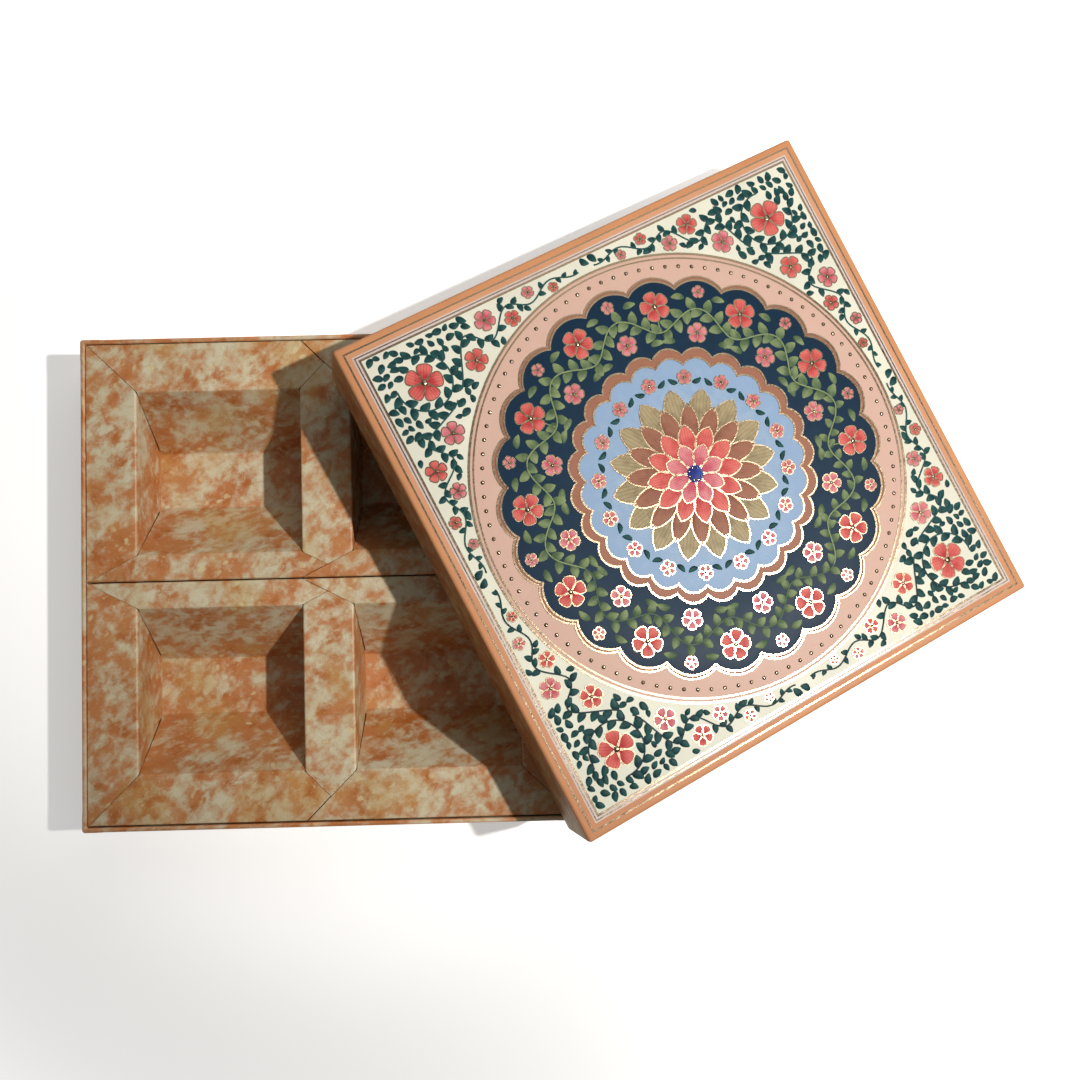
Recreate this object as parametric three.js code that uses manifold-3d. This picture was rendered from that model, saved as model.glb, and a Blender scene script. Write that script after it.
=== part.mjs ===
// A square gift box for dried fruit: a wrapped board base with a folded card
// insert of four wells, and a full-depth lift-off lid leaning on the base.
// Millimetres, +Z up, origin under the middle of the base where it stands.

import * as THREE from 'three';
import { mergeVertices } from 'three/addons/utils/BufferGeometryUtils.js';
import Module from 'manifold-3d';

const wasm = await Module();
wasm.setup();

// Driving dimensions of the boards and papers
const PAPER = 0.3;
const LINING = 0.2;
const STAY_PAPER = 0.2;
const STAY_LEG = 14;
const STAY_END_GAP = 3;
const FOLD_RADIUS = 0.9;
const CORNER_RADIUS = 1.2;
const INNER_CORNER_RADIUS = 0.3;
const LEAST_RADIUS = 0.05;

// Driving dimensions of the base
const BASE_SIDE = 229;
const BASE_HEIGHT = 40;
const BASE_BOARD = 1;
const BASE_GLUE = 0.1;
const BASE_TURN_IN = 16;
const BASE_TURN_UNDER = 15;
const BOTTOM_PAPER_INSET = 3;
const FLOOR_LINING_INSET = 1;

// Driving dimensions of the insert
const CARD = 0.5;
const INSERT_CLEARANCE = 0.5;
const TRAY_DROP = 0.8;
const WELL_SIDE = 76.6;
const WELL_PITCH = 100.4;
const SEAM_GAP = 0.5;
const SEAM_BORDER = 12.2;
const SLOPE_RUN = 24.8;
const CUT_GAP = 0.3;

// Driving dimensions of the lid and of the way it leans
const LID_BOARD = 1.5;
const LID_GLUE = 0.2;
const LID_CLEARANCE = 0.7;
const LID_HEADROOM = 0.6;
const LID_TURN_IN = 28;
const LID_LINING_INSET = 1;
const LID_TURN = THREE.MathUtils.degToRad(26.7);
const LID_CORNER_REACH = 6.3;
const REST_GAP = 0.3;

// Round corners are drawn with this many steps
const FOLD_STEPS = 4;
const CORNER_STEPS = 4;

// Base sizes that follow from the driving dimensions
const baseHalf = BASE_SIDE / 2;
const baseBoardHalf = baseHalf - PAPER - BASE_GLUE - STAY_PAPER - BASE_GLUE;
const baseBoardInner = baseBoardHalf - BASE_BOARD;
const baseInner = baseBoardInner - BASE_GLUE - PAPER;
const turnUnderBottom = PAPER + BASE_GLUE;
const baseBoardBottom = turnUnderBottom + PAPER + BASE_GLUE;
const baseBoardTop = BASE_HEIGHT - PAPER - BASE_GLUE;
const floorTop = baseBoardBottom + BASE_BOARD;
const liningTop = floorTop + BASE_GLUE + LINING;

// Insert sizes that follow: y runs out from the seam between the two strips
const insertHalf = baseInner - INSERT_CLEARANCE;
const trayTop = BASE_HEIGHT - TRAY_DROP;
const cardBottom = liningTop + BASE_GLUE;
const wellFloor = cardBottom + CARD;
const seamEdge = SEAM_GAP / 2;
const wellNear = seamEdge + SEAM_BORDER;
const wellFar = wellNear + WELL_SIDE;
const wellOuterX = (WELL_PITCH + WELL_SIDE) / 2;
const wellInnerX = (WELL_PITCH - WELL_SIDE) / 2;

// Lid sizes that follow: z runs up from the open rim
const lidWall = PAPER + LID_GLUE + STAY_PAPER + LID_GLUE + LID_BOARD + LID_GLUE + PAPER;
const lidHalf = baseHalf + LID_CLEARANCE + lidWall;
const lidBoardHalf = lidHalf - PAPER - LID_GLUE - STAY_PAPER - LID_GLUE;
const lidBoardInner = lidBoardHalf - LID_BOARD;
const lidInner = lidBoardInner - LID_GLUE - PAPER;
const lidBoardBottom = PAPER + LID_GLUE;
const lidLiningBottom = BASE_HEIGHT + LID_HEADROOM;
const lidTopBoardBottom = lidLiningBottom + LINING + LID_GLUE;
const lidTopBoardTop = lidTopBoardBottom + LID_BOARD;
const lidHeight = lidTopBoardTop + LID_GLUE + PAPER;

// Finishes: colour, roughness
const FINISH = {
  greyboard: { color: 0x9c9284, roughness: 0.95 },
  stayPaper: { color: 0xc9b48e, roughness: 0.9 },
  mottledPaper: { color: 0xc79f78, roughness: 0.62 },
  plainPaper: { color: 0xd8c7a8, roughness: 0.85 },
  lidPaper: { color: 0xe19669, roughness: 0.5 },
};

// Solids and meshes

function solidOf(geometry) {
  const bare = geometry.index ? geometry.toNonIndexed() : geometry;
  bare.deleteAttribute('normal');
  bare.deleteAttribute('uv');
  const merged = mergeVertices(bare, 1e-4);
  return new wasm.Manifold(new wasm.Mesh({
    numProp: 3,
    vertProperties: new Float32Array(merged.attributes.position.array),
    triVerts: new Uint32Array(merged.index.array),
  }));
}

function geometryOf(solid) {
  const { vertProperties, triVerts } = solid.getMesh();
  const geometry = new THREE.BufferGeometry();
  geometry.setAttribute('position', new THREE.BufferAttribute(new Float32Array(vertProperties), 3));
  geometry.setIndex(new THREE.BufferAttribute(new Uint32Array(triVerts), 1));
  geometry.computeVertexNormals();
  return geometry;
}

function piece(name, geometry, finish) {
  const mesh = new THREE.Mesh(geometry, new THREE.MeshStandardMaterial({ ...finish, metalness: 0 }));
  mesh.name = name;
  return mesh;
}

// A flat outline in x and y, raised from one height to another
function plate(outline, bottom, top) {
  const shape = new THREE.Shape(outline.map(([x, y]) => new THREE.Vector2(x, y)));
  const geometry = new THREE.ExtrudeGeometry(shape, { depth: top - bottom, bevelEnabled: false });
  return geometry.translate(0, 0, bottom);
}

// An outline in y and z, carried along x
function bar(outline, start, end) {
  const alongX = new THREE.Matrix4().makeBasis(
    new THREE.Vector3(0, 1, 0),
    new THREE.Vector3(0, 0, 1),
    new THREE.Vector3(1, 0, 0),
  );
  return plate(outline, start, end).applyMatrix4(alongX);
}

function rectangle(x0, y0, x1, y1) {
  return [[x0, y0], [x1, y0], [x1, y1], [x0, y1]];
}

function squareSheet(half, bottom, top) {
  return plate(rectangle(-half, -half, half, half), bottom, top);
}

// Round corners: a square ring of points and arcs in a wrap's profile

function squareRing(half, radius) {
  const ring = [];
  for (let corner = 0; corner < 4; corner += 1) {
    const turn = corner * Math.PI / 2;
    const centre = new THREE.Vector2(half - radius, half - radius).rotateAround(new THREE.Vector2(), turn);
    for (let step = 0; step <= CORNER_STEPS; step += 1) {
      const angle = turn + step / CORNER_STEPS * Math.PI / 2;
      ring.push([centre.x + radius * Math.cos(angle), centre.y + radius * Math.sin(angle)]);
    }
  }
  return ring;
}

function foldArc(half, z, radius, startDegrees, endDegrees) {
  const points = [];
  for (let step = 0; step <= FOLD_STEPS; step += 1) {
    const degrees = startDegrees + step / FOLD_STEPS * (endDegrees - startDegrees);
    const angle = THREE.MathUtils.degToRad(degrees);
    points.push([half + radius * Math.cos(angle), z + radius * Math.sin(angle)]);
  }
  return points;
}

// A profile of [half side, height] points carried round the square. Its rings
// close on themselves, or end in a flat panel at both ends of the profile.
function squareSweep(profile, outerHalf, closed) {
  const rings = profile.map(([half]) => {
    const radius = Math.max(CORNER_RADIUS - (outerHalf - half), INNER_CORNER_RADIUS);
    return squareRing(half, radius);
  });
  const count = rings[0].length;
  const positions = rings.flatMap((ring, row) => ring.flatMap(([x, y]) => [x, y, profile[row][1]]));
  const index = [];
  const lastRow = closed ? rings.length : rings.length - 1;
  for (let row = 0; row < lastRow; row += 1) {
    const next = (row + 1) % rings.length;
    for (let i = 0; i < count; i += 1) {
      const j = (i + 1) % count;
      const [a, b] = [row * count + i, row * count + j];
      const [c, d] = [next * count + j, next * count + i];
      index.push(a, b, c, a, c, d);
    }
  }
  if (!closed) {
    for (const [row, facing] of [[0, -1], [rings.length - 1, 1]]) {
      const hub = positions.length / 3;
      positions.push(0, 0, profile[row][1]);
      for (let i = 0; i < count; i += 1) {
        const edge = [row * count + i, row * count + (i + 1) % count];
        index.push(hub, ...(facing > 0 ? edge : edge.reverse()));
      }
    }
  }
  const geometry = new THREE.BufferGeometry();
  geometry.setAttribute('position', new THREE.Float32BufferAttribute(positions, 3));
  geometry.setIndex(index);
  geometry.computeVertexNormals();
  return geometry;
}

// A rectangle with its four corners rounded
function easedRectangle(x0, y0, x1, y1, radius) {
  return [
    ...foldArc(x1 - radius, y0 + radius, radius, -90, 0),
    ...foldArc(x1 - radius, y1 - radius, radius, 0, 90),
    ...foldArc(x0 + radius, y1 - radius, radius, 90, 180),
    ...foldArc(x0 + radius, y0 + radius, radius, 180, 270),
  ];
}

// A wall board standing at the right, with its long edges eased. One that runs
// through to the corners has its outer upright edges eased as well.
function wallBoard({ half, bottom, top, glue, board }, runsThrough) {
  const inner = half - board;
  const end = runsThrough ? half : inner - glue;
  const edgeRadius = THREE.MathUtils.clamp(FOLD_RADIUS - PAPER - glue, LEAST_RADIUS, board / 2);
  const cornerRadius = Math.max(CORNER_RADIUS - PAPER - STAY_PAPER - 2 * glue, LEAST_RADIUS);
  const section = bar(easedRectangle(inner, bottom, half, top, edgeRadius), -end, end);
  const strip = section.applyMatrix4(new THREE.Matrix4().makeBasis(
    new THREE.Vector3(0, -1, 0),
    new THREE.Vector3(1, 0, 0),
    new THREE.Vector3(0, 0, 1),
  ));
  if (!runsThrough) {
    return strip;
  }
  const plan = easedRectangle(-half, -half, half, half, cornerRadius);
  return geometryOf(solidOf(strip).intersect(solidOf(plate(plan, bottom, top))));
}

// A paper angle over the outside of the back right corner
function cornerStay({ half, bottom, top, glue }) {
  const inner = half + glue;
  const outer = inner + STAY_PAPER;
  const outerRadius = Math.max(CORNER_RADIUS - PAPER - glue, STAY_PAPER + LEAST_RADIUS);
  const centre = outer - outerRadius;
  const legEnd = outer - STAY_LEG;
  const outline = [
    [outer, legEnd],
    ...foldArc(centre, centre, outerRadius, 0, 90),
    [legEnd, outer],
    [legEnd, inner],
    ...foldArc(centre, centre, outerRadius - STAY_PAPER, 90, 0),
    [inner, legEnd],
  ];
  return plate(outline, bottom + STAY_END_GAP, top - STAY_END_GAP);
}

// Four walls of a square carcass, two run through and two between them, and
// the stays that hold their corners
function carcass(prefix, sizes) {
  const sides = ['right', 'back', 'left', 'front'];
  const corners = ['back_right', 'back_left', 'front_left', 'front_right'];
  const walls = sides.map((side, quarter) => {
    const board = wallBoard(sizes, quarter % 2 === 0);
    return piece(`${prefix}_wall_board_${side}`, board, FINISH.greyboard);
  });
  const stays = corners.map((corner) =>
    piece(`${prefix}_corner_stay_${corner}`, cornerStay(sizes), FINISH.stayPaper));
  for (const quarter of [0, 1, 2, 3]) {
    walls[quarter].rotation.z = quarter * Math.PI / 2;
    stays[quarter].rotation.z = quarter * Math.PI / 2;
  }
  return [...walls, ...stays];
}

// The base: boards, outer wrap, papers under and inside

function baseWrap() {
  const outer = baseHalf - FOLD_RADIUS;
  const wrapInnerFace = baseHalf - PAPER;
  const insideFold = baseInner + FOLD_RADIUS;
  const rimFold = BASE_HEIGHT - FOLD_RADIUS;
  const underFold = turnUnderBottom + FOLD_RADIUS;
  const innerRadius = FOLD_RADIUS - PAPER;
  const turnInEnd = BASE_HEIGHT - BASE_TURN_IN;
  const turnUnderEnd = baseHalf - BASE_TURN_UNDER;
  return squareSweep([
    [turnUnderEnd, turnUnderBottom],
    ...foldArc(outer, underFold, FOLD_RADIUS, -90, 0),
    ...foldArc(outer, rimFold, FOLD_RADIUS, 0, 90),
    ...foldArc(insideFold, rimFold, FOLD_RADIUS, 90, 180),
    [baseInner, turnInEnd],
    [baseInner + PAPER, turnInEnd],
    ...foldArc(insideFold, rimFold, innerRadius, 180, 90),
    ...foldArc(wrapInnerFace - innerRadius, rimFold, innerRadius, 90, 0),
    ...foldArc(wrapInnerFace - innerRadius, underFold, innerRadius, 0, -90),
    [turnUnderEnd, turnUnderBottom + PAPER],
  ], baseHalf, true);
}

function base() {
  const group = new THREE.Group();
  const floorHalf = baseBoardInner - BASE_GLUE;
  const liningHalf = baseInner - FLOOR_LINING_INSET;
  const bottomHalf = baseHalf - BOTTOM_PAPER_INSET;
  const boards = {
    half: baseBoardHalf,
    bottom: baseBoardBottom,
    top: baseBoardTop,
    glue: BASE_GLUE,
    board: BASE_BOARD,
  };
  group.add(
    piece('base_floor_board', squareSheet(floorHalf, baseBoardBottom, floorTop), FINISH.greyboard),
    ...carcass('base', boards),
    piece('base_wrap', baseWrap(), FINISH.mottledPaper),
    piece('base_bottom_paper', squareSheet(bottomHalf, 0, PAPER), FINISH.plainPaper),
    piece('base_floor_lining', squareSheet(liningHalf, liningTop - LINING, liningTop), FINISH.plainPaper),
  );
  return group;
}

// The insert: each strip is a folded trough with three saddles set in it

// A line of folds thickened to the underside, with mitred corners
function foldedSheet(line, thickness) {
  const points = line.map(([y, z]) => new THREE.Vector2(y, z));
  const normals = points.slice(1).map((end, i) => {
    const run = end.clone().sub(points[i]).normalize();
    return new THREE.Vector2(run.y, -run.x);
  });
  const underside = points.map((point, i) => {
    const before = normals[Math.max(i - 1, 0)];
    const after = normals[Math.min(i, normals.length - 1)];
    const mitre = before.clone().add(after);
    return point.clone().addScaledVector(mitre, thickness / (1 + before.dot(after)));
  });
  return [...points, ...underside.reverse()].map((point) => [point.x, point.y]);
}

// Top plates of the saddles, drawn with y out from the seam
const endPlate = [
  [-insertHalf, seamEdge],
  [-wellOuterX, wellNear],
  [-wellOuterX, wellFar],
  [-insertHalf, insertHalf],
];
const seamPoint = [0, wellNear - SEAM_BORDER / 2];
const outerPoint = [0, wellFar + wellInnerX];
const dividerPlate = [
  [-wellInnerX, wellNear],
  seamPoint,
  [wellInnerX, wellNear],
  [wellInnerX, wellFar],
  outerPoint,
  [-wellInnerX, wellFar],
];

function mirrored(outline, [signX, signY]) {
  const flipped = outline.map(([x, y]) => [x * signX, y * signY]);
  return signX * signY < 0 ? flipped.reverse() : flipped;
}

// An outline grown outwards by a gap, corner by corner
function grown(outline, gap) {
  const points = outline.map(([x, y]) => new THREE.Vector2(x, y));
  const anticlockwise = THREE.ShapeUtils.isClockWise(points) ? -1 : 1;
  return points.map((point, i) => {
    const before = point.clone().sub(points.at(i - 1)).normalize();
    const after = points[(i + 1) % points.length].clone().sub(point).normalize();
    const normalBefore = new THREE.Vector2(before.y, -before.x);
    const normalAfter = new THREE.Vector2(after.y, -after.x);
    const mitre = normalBefore.clone().add(normalAfter);
    const scale = anticlockwise * gap / (1 + normalBefore.dot(normalAfter));
    return [point.x + mitre.x * scale, point.y + mitre.y * scale];
  });
}

// A cut of the given width along a line from one point to another
function slit(from, to, width) {
  const run = new THREE.Vector2(to[0] - from[0], to[1] - from[1]).normalize();
  const side = new THREE.Vector2(-run.y, run.x).multiplyScalar(width / 2);
  return [
    [from[0] - side.x, from[1] - side.y],
    [to[0] + run.x * width - side.x, to[1] + run.y * width - side.y],
    [to[0] + run.x * width + side.x, to[1] + run.y * width + side.y],
    [from[0] + side.x, from[1] + side.y],
  ];
}

function trough(signY) {
  const line = [
    [seamEdge, cardBottom],
    [seamEdge, trayTop],
    [wellNear, trayTop],
    [wellNear + SLOPE_RUN, wellFloor],
    [wellFar - SLOPE_RUN, wellFloor],
    [wellFar, trayTop],
    [insertHalf, trayTop],
    [insertHalf, cardBottom],
  ];
  const section = mirrored(foldedSheet(line, CARD), [signY, 1]);
  let solid = solidOf(bar(section, -insertHalf, insertHalf));
  const seamEnd = [-wellInnerX, seamEdge];
  const outerEnd = [outerPoint[1] - insertHalf, insertHalf];
  const cuts = [
    grown(endPlate, CUT_GAP),
    grown(mirrored(endPlate, [-1, 1]), CUT_GAP),
    grown(dividerPlate, CUT_GAP),
    slit(seamPoint, seamEnd, CUT_GAP),
    slit(outerPoint, outerEnd, CUT_GAP),
  ];
  for (const outline of cuts) {
    const cutter = plate(mirrored(outline, [1, signY]), trayTop - CARD - CUT_GAP, trayTop + CARD);
    solid = solid.subtract(solidOf(cutter));
  }
  return geometryOf(solid);
}

// A saddle: a top plate with a wall folded down at each well that it borders
function saddle(outline, wallFaces, signY) {
  const foot = wellFloor + CUT_GAP;
  const wall = [
    [wellNear + CUT_GAP, trayTop],
    [wellNear + SLOPE_RUN + CUT_GAP, foot],
    [wellFar - SLOPE_RUN - CUT_GAP, foot],
    [wellFar - CUT_GAP, trayTop],
  ];
  let solid = solidOf(plate(mirrored(outline, [1, signY]), trayTop - CARD, trayTop));
  for (const [face, behind] of wallFaces) {
    const [start, end] = [face, face + behind * CARD].sort((a, b) => a - b);
    solid = solid.add(solidOf(bar(mirrored(wall, [signY, 1]), start, end)));
  }
  return geometryOf(solid);
}

function insert() {
  const group = new THREE.Group();
  for (const [row, signY] of [['back', 1], ['front', -1]]) {
    const saddles = {
      left: [endPlate, [[-wellOuterX, -1]]],
      middle: [dividerPlate, [[-wellInnerX, 1], [wellInnerX, -1]]],
      right: [mirrored(endPlate, [-1, 1]), [[wellOuterX, 1]]],
    };
    group.add(piece(`insert_${row}_trough`, trough(signY), FINISH.mottledPaper));
    for (const [place, [outline, wallFaces]] of Object.entries(saddles)) {
      const name = `insert_${row}_saddle_${place}`;
      group.add(piece(name, saddle(outline, wallFaces, signY), FINISH.mottledPaper));
    }
  }
  return group;
}

// The lid: boards, printed wrap and lining, drawn upright about its own middle

function lidWrap() {
  const topFold = lidHeight - FOLD_RADIUS;
  const outer = lidHalf - FOLD_RADIUS;
  const insideFold = lidInner + FOLD_RADIUS;
  const innerRadius = FOLD_RADIUS - PAPER;
  return squareSweep([
    [outer - FOLD_RADIUS, lidHeight - PAPER],
    ...foldArc(outer, topFold, innerRadius, 90, 0),
    ...foldArc(outer, FOLD_RADIUS, innerRadius, 0, -90),
    ...foldArc(insideFold, FOLD_RADIUS, innerRadius, -90, -180),
    [lidInner + PAPER, LID_TURN_IN],
    [lidInner, LID_TURN_IN],
    ...foldArc(insideFold, FOLD_RADIUS, FOLD_RADIUS, -180, -90),
    ...foldArc(outer, FOLD_RADIUS, FOLD_RADIUS, -90, 0),
    ...foldArc(outer, topFold, FOLD_RADIUS, 0, 90),
    [outer - FOLD_RADIUS, lidHeight],
  ], lidHalf, false);
}

function lid() {
  const group = new THREE.Group();
  const topBoard = squareSheet(lidBoardHalf, lidTopBoardBottom, lidTopBoardTop);
  const liningHalf = lidBoardInner - LID_LINING_INSET;
  const lining = squareSheet(liningHalf, lidLiningBottom, lidLiningBottom + LINING);
  const wallTop = lidTopBoardBottom - LID_GLUE;
  const boards = {
    half: lidBoardHalf,
    bottom: lidBoardBottom,
    top: wallTop,
    glue: LID_GLUE,
    board: LID_BOARD,
  };
  group.add(
    piece('lid_top_board', topBoard, FINISH.greyboard),
    ...carcass('lid', boards),
    piece('lid_wrap', lidWrap(), FINISH.lidPaper),
    piece('lid_lining', lining, FINISH.plainPaper),
  );
  return group;
}

// The lean: the lid's front wall stands on the base's front right corner, its
// far wall crosses the base's back rim, and its right front corner meets the
// table. The slopes of its rim plane follow from these three touching points.
function leanLid(group) {
  const side = 2 * lidHalf;
  const across = new THREE.Vector3(Math.cos(LID_TURN), Math.sin(LID_TURN), 0);
  const along = new THREE.Vector3(-Math.sin(LID_TURN), Math.cos(LID_TURN), 0);
  const cornerAlong = lidWall / 2;
  const corner = new THREE.Vector3(baseHalf, -baseHalf, 0)
    .addScaledVector(across, -LID_CORNER_REACH)
    .addScaledVector(along, -cornerAlong);
  const crossingAlong = side - lidWall;
  const crossingAcross = (baseHalf - corner.y - crossingAlong * along.y) / across.y;
  const rise = (crossingAcross - LID_CORNER_REACH) / (crossingAlong - cornerAlong);
  let slope = 0;
  for (let pass = 0; pass < 4; pass += 1) {
    const reach = side / Math.hypot(1, slope);
    slope = BASE_HEIGHT / (reach - LID_CORNER_REACH + rise * cornerAlong);
  }
  corner.z = BASE_HEIGHT + REST_GAP + slope * (LID_CORNER_REACH - rise * cornerAlong);
  const lidX = across.clone().setZ(-slope).normalize();
  const lidNormal = lidX.clone().cross(along.clone().setZ(slope * rise)).normalize();
  const lidY = lidNormal.clone().cross(lidX);
  group.quaternion.setFromRotationMatrix(new THREE.Matrix4().makeBasis(lidX, lidY, lidNormal));
  group.position.copy(corner).addScaledVector(lidX, lidHalf).addScaledVector(lidY, lidHalf);
  return group;
}

const box = new THREE.Group();
box.add(base(), insert(), leanLid(lid()));

export default box;
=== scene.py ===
"""Dress of a square dried fruit box: a papered tray, a folded insert and a printed lid."""
from __future__ import annotations

import functools
import logging
import math
from dataclasses import asdict, dataclass, field, replace
from enum import Enum
from typing import NamedTuple

import bpy
import numpy as np
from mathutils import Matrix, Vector

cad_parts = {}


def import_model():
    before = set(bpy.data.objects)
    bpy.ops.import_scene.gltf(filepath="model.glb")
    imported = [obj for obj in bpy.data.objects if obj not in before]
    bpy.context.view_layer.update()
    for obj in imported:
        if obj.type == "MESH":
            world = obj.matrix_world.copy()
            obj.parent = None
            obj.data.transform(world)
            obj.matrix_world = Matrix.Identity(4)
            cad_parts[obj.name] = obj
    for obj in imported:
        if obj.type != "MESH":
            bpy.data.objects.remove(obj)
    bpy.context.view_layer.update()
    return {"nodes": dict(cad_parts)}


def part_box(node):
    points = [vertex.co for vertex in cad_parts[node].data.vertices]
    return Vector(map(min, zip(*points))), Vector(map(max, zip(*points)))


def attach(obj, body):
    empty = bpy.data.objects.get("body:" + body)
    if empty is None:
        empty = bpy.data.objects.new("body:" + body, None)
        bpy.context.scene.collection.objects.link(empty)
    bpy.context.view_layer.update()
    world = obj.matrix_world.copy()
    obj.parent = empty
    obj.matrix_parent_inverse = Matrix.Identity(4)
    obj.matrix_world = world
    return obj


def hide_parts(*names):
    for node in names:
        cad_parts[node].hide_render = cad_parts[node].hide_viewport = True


LOG = logging.getLogger("fruit_box")
UV_NAME = "sheet"
# Point attribute of the folds' wear, which also paints their highlight
WEAR_AND_HIGHLIGHT_NAME = "wear"
# A millimetre in metres, the least length to divide by, and the radius of a sharp corner
MM = 0.001
TINY = 1e-6
SHARP = 1e-3
# Steps round a fold, and the share of a sheet's width at which a point keeps its edge crisp
FOLD_STEPS = 7
EDGE_HOLD = 0.003

Array = np.ndarray
Colour = tuple[float, float, float]
Place = tuple[float, float, float]
Line = list[tuple[float, float]]
Socket = bpy.types.NodeSocket
NodeTree = bpy.types.NodeTree
Material = bpy.types.Material
Piece = bpy.types.Object


class Body(Enum):
    """The two bodies that a piece can ride on."""

    BASE = "base"
    LID = "lid"


class Slot(Enum):
    """The record's finishes that new pieces stand for."""

    MOTTLED = "mottled_paper"
    LID = "lid_paper"


class Row(Enum):
    """The insert's two strips, by the way they run out from the seam."""

    BACK = 1
    FRONT = -1


def linear(red: float, green: float, blue: float) -> tuple[float, float, float, float]:
    """Scene colour of a screen colour.

    Args:
        red: Screen red, 0 to 255.
        green: Screen green, 0 to 255.
        blue: Screen blue, 0 to 255.

    Returns:
        The linear red, green, blue and full alpha.
    """
    share = np.array([red, green, blue]) / 255.0
    light = np.where(share <= 0.04045, share / 12.92, ((share + 0.055) / 1.055) ** 2.4)
    return (*map(float, light), 1.0)


# Meshes


def points_of(node: Piece) -> Array:
    """Reads the points of a node's mesh.

    Args:
        node: The CAD node.

    Returns:
        Its points in millimetres, shaped (points, 3).
    """
    flat = np.empty(len(node.data.vertices) * 3)
    node.data.vertices.foreach_get("co", flat)
    return flat.reshape(-1, 3) / MM


def square_grid(half: float, cells: int) -> Array:
    """Points of an even square grid about the middle, shaped (rows, columns, 2)."""
    line = np.linspace(-1, 1, cells + 1) * half
    return np.stack(np.meshgrid(line, line, indexing="ij"), -1)


def grid_faces(rows: int, columns: int, ring: tuple[bool, bool] = (False, False)) -> Array:
    """Four-sided faces of a grid of points. A face looks along rows crossed with columns.

    Args:
        rows: Rows of points.
        columns: Columns of points.
        ring: Whether the rows, or the columns, close on themselves.

    Returns:
        Point numbers shaped (faces, 4).
    """
    row, column = np.meshgrid(
        np.arange(rows - 1 + ring[0]), np.arange(columns - 1 + ring[1]), indexing="ij")
    next_row = (row + 1) % rows
    next_column = (column + 1) % columns
    return np.stack([
        row * columns + column,
        next_row * columns + column,
        next_row * columns + next_column,
        row * columns + next_column,
    ], -1).reshape(-1, 4)


class Sheets:
    """Grids of points gathered into one mesh, with a flat map and a value at each point for wear and
    the painted fold highlight.
    """

    def __init__(self) -> None:
        """Starts with no grids."""
        self.points: list[Array] = []
        self.flats: list[Array] = []
        self.wears: list[Array] = []
        self.faces: list[Array] = []
        self.count = 0

    def add(self, points: Array, flat: Array | None = None, wear: Array | float = 0.0,
            ring: tuple[bool, bool] = (False, False)) -> None:
        """Adds a grid, or a stack of like grids.

        Args:
            points: Places in millimetres, shaped (..., rows, columns, 3).
            flat: Map places, shaped (..., rows, columns, 2); x and y where left out.
            wear: Wear and the painted fold highlight at each point, 0 to 1.
            ring: Whether the rows, or the columns, close on themselves.
        """
        rows, columns = points.shape[-3:-1]
        stack = points.reshape(-1, rows * columns, 3)
        flat = points[..., :2] if flat is None else flat
        starts = self.count + np.arange(len(stack)).reshape(-1, 1, 1) * rows * columns
        self.faces.append((starts + grid_faces(rows, columns, ring)).reshape(-1, 4))
        self.points.append(stack.reshape(-1, 3))
        self.flats.append(np.broadcast_to(flat, (*points.shape[:-1], 2)).reshape(-1, 2))
        self.wears.append(np.broadcast_to(wear, points.shape[:-1]).reshape(-1))
        self.count += stack.shape[0] * rows * columns

    def piece(self, name: str, finish: Material, body: Body, slot: Slot,
              replaced: tuple[str, ...] = ()) -> Piece:
        """Writes the mesh, dresses it and sets it riding.

        Args:
            name: Name of the new piece.
            finish: Its material.
            body: The body it moves with.
            slot: The record's finish that it stands for; not used.
            replaced: CAD nodes that it stands for.

        Returns:
            The new piece.
        """
        points = np.concatenate(self.points) * MM
        faces = np.concatenate(self.faces)
        mesh = bpy.data.meshes.new(name)
        mesh.vertices.add(len(points))
        mesh.vertices.foreach_set("co", points.ravel())
        mesh.loops.add(faces.size)
        mesh.loops.foreach_set("vertex_index", faces.ravel())
        mesh.polygons.add(len(faces))
        mesh.polygons.foreach_set("loop_start", np.arange(0, faces.size, 4))
        mesh.polygons.foreach_set("use_smooth", np.ones(len(faces), bool))
        mesh.update(calc_edges=True)
        flat = mesh.uv_layers.new(name=UV_NAME)
        flat.data.foreach_set("uv", (np.concatenate(self.flats)[faces.ravel()] * MM).ravel())
        wear = mesh.attributes.new(WEAR_AND_HIGHLIGHT_NAME, "FLOAT", "POINT")
        wear.data.foreach_set("value", np.concatenate(self.wears))
        mesh.materials.append(finish)
        made = bpy.data.objects.new(name, mesh)
        bpy.context.scene.collection.objects.link(made)
        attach(made, body.value)
        if replaced:
            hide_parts(*replaced)
        LOG.info("%s: %d faces", name, len(faces))
        return made


def thicken(piece: Piece, thickness: float) -> None:
    """Gives a sheet its thickness, behind its face.

    Args:
        piece: The sheet.
        thickness: Its thickness in millimetres.
    """
    wall = piece.modifiers.new("thickness", "SOLIDIFY")
    wall.thickness = thickness * MM
    wall.offset = -1.0
    wall.use_even_offset = True


def run_along(points: Array) -> Array:
    """Distance along a line at each of its points."""
    steps = np.linalg.norm(np.diff(points, axis=0), axis=1)
    return np.concatenate([[0.0], np.cumsum(steps)])


def held_steps(count: int) -> Array:
    """Even steps from 0 to 1, with one more beside each end that keeps the sheet's edge crisp."""
    even = np.linspace(0, 1, count)
    return np.concatenate([even[:1], [EDGE_HOLD], even[1:-1], [1 - EDGE_HOLD], even[-1:]])


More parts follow.
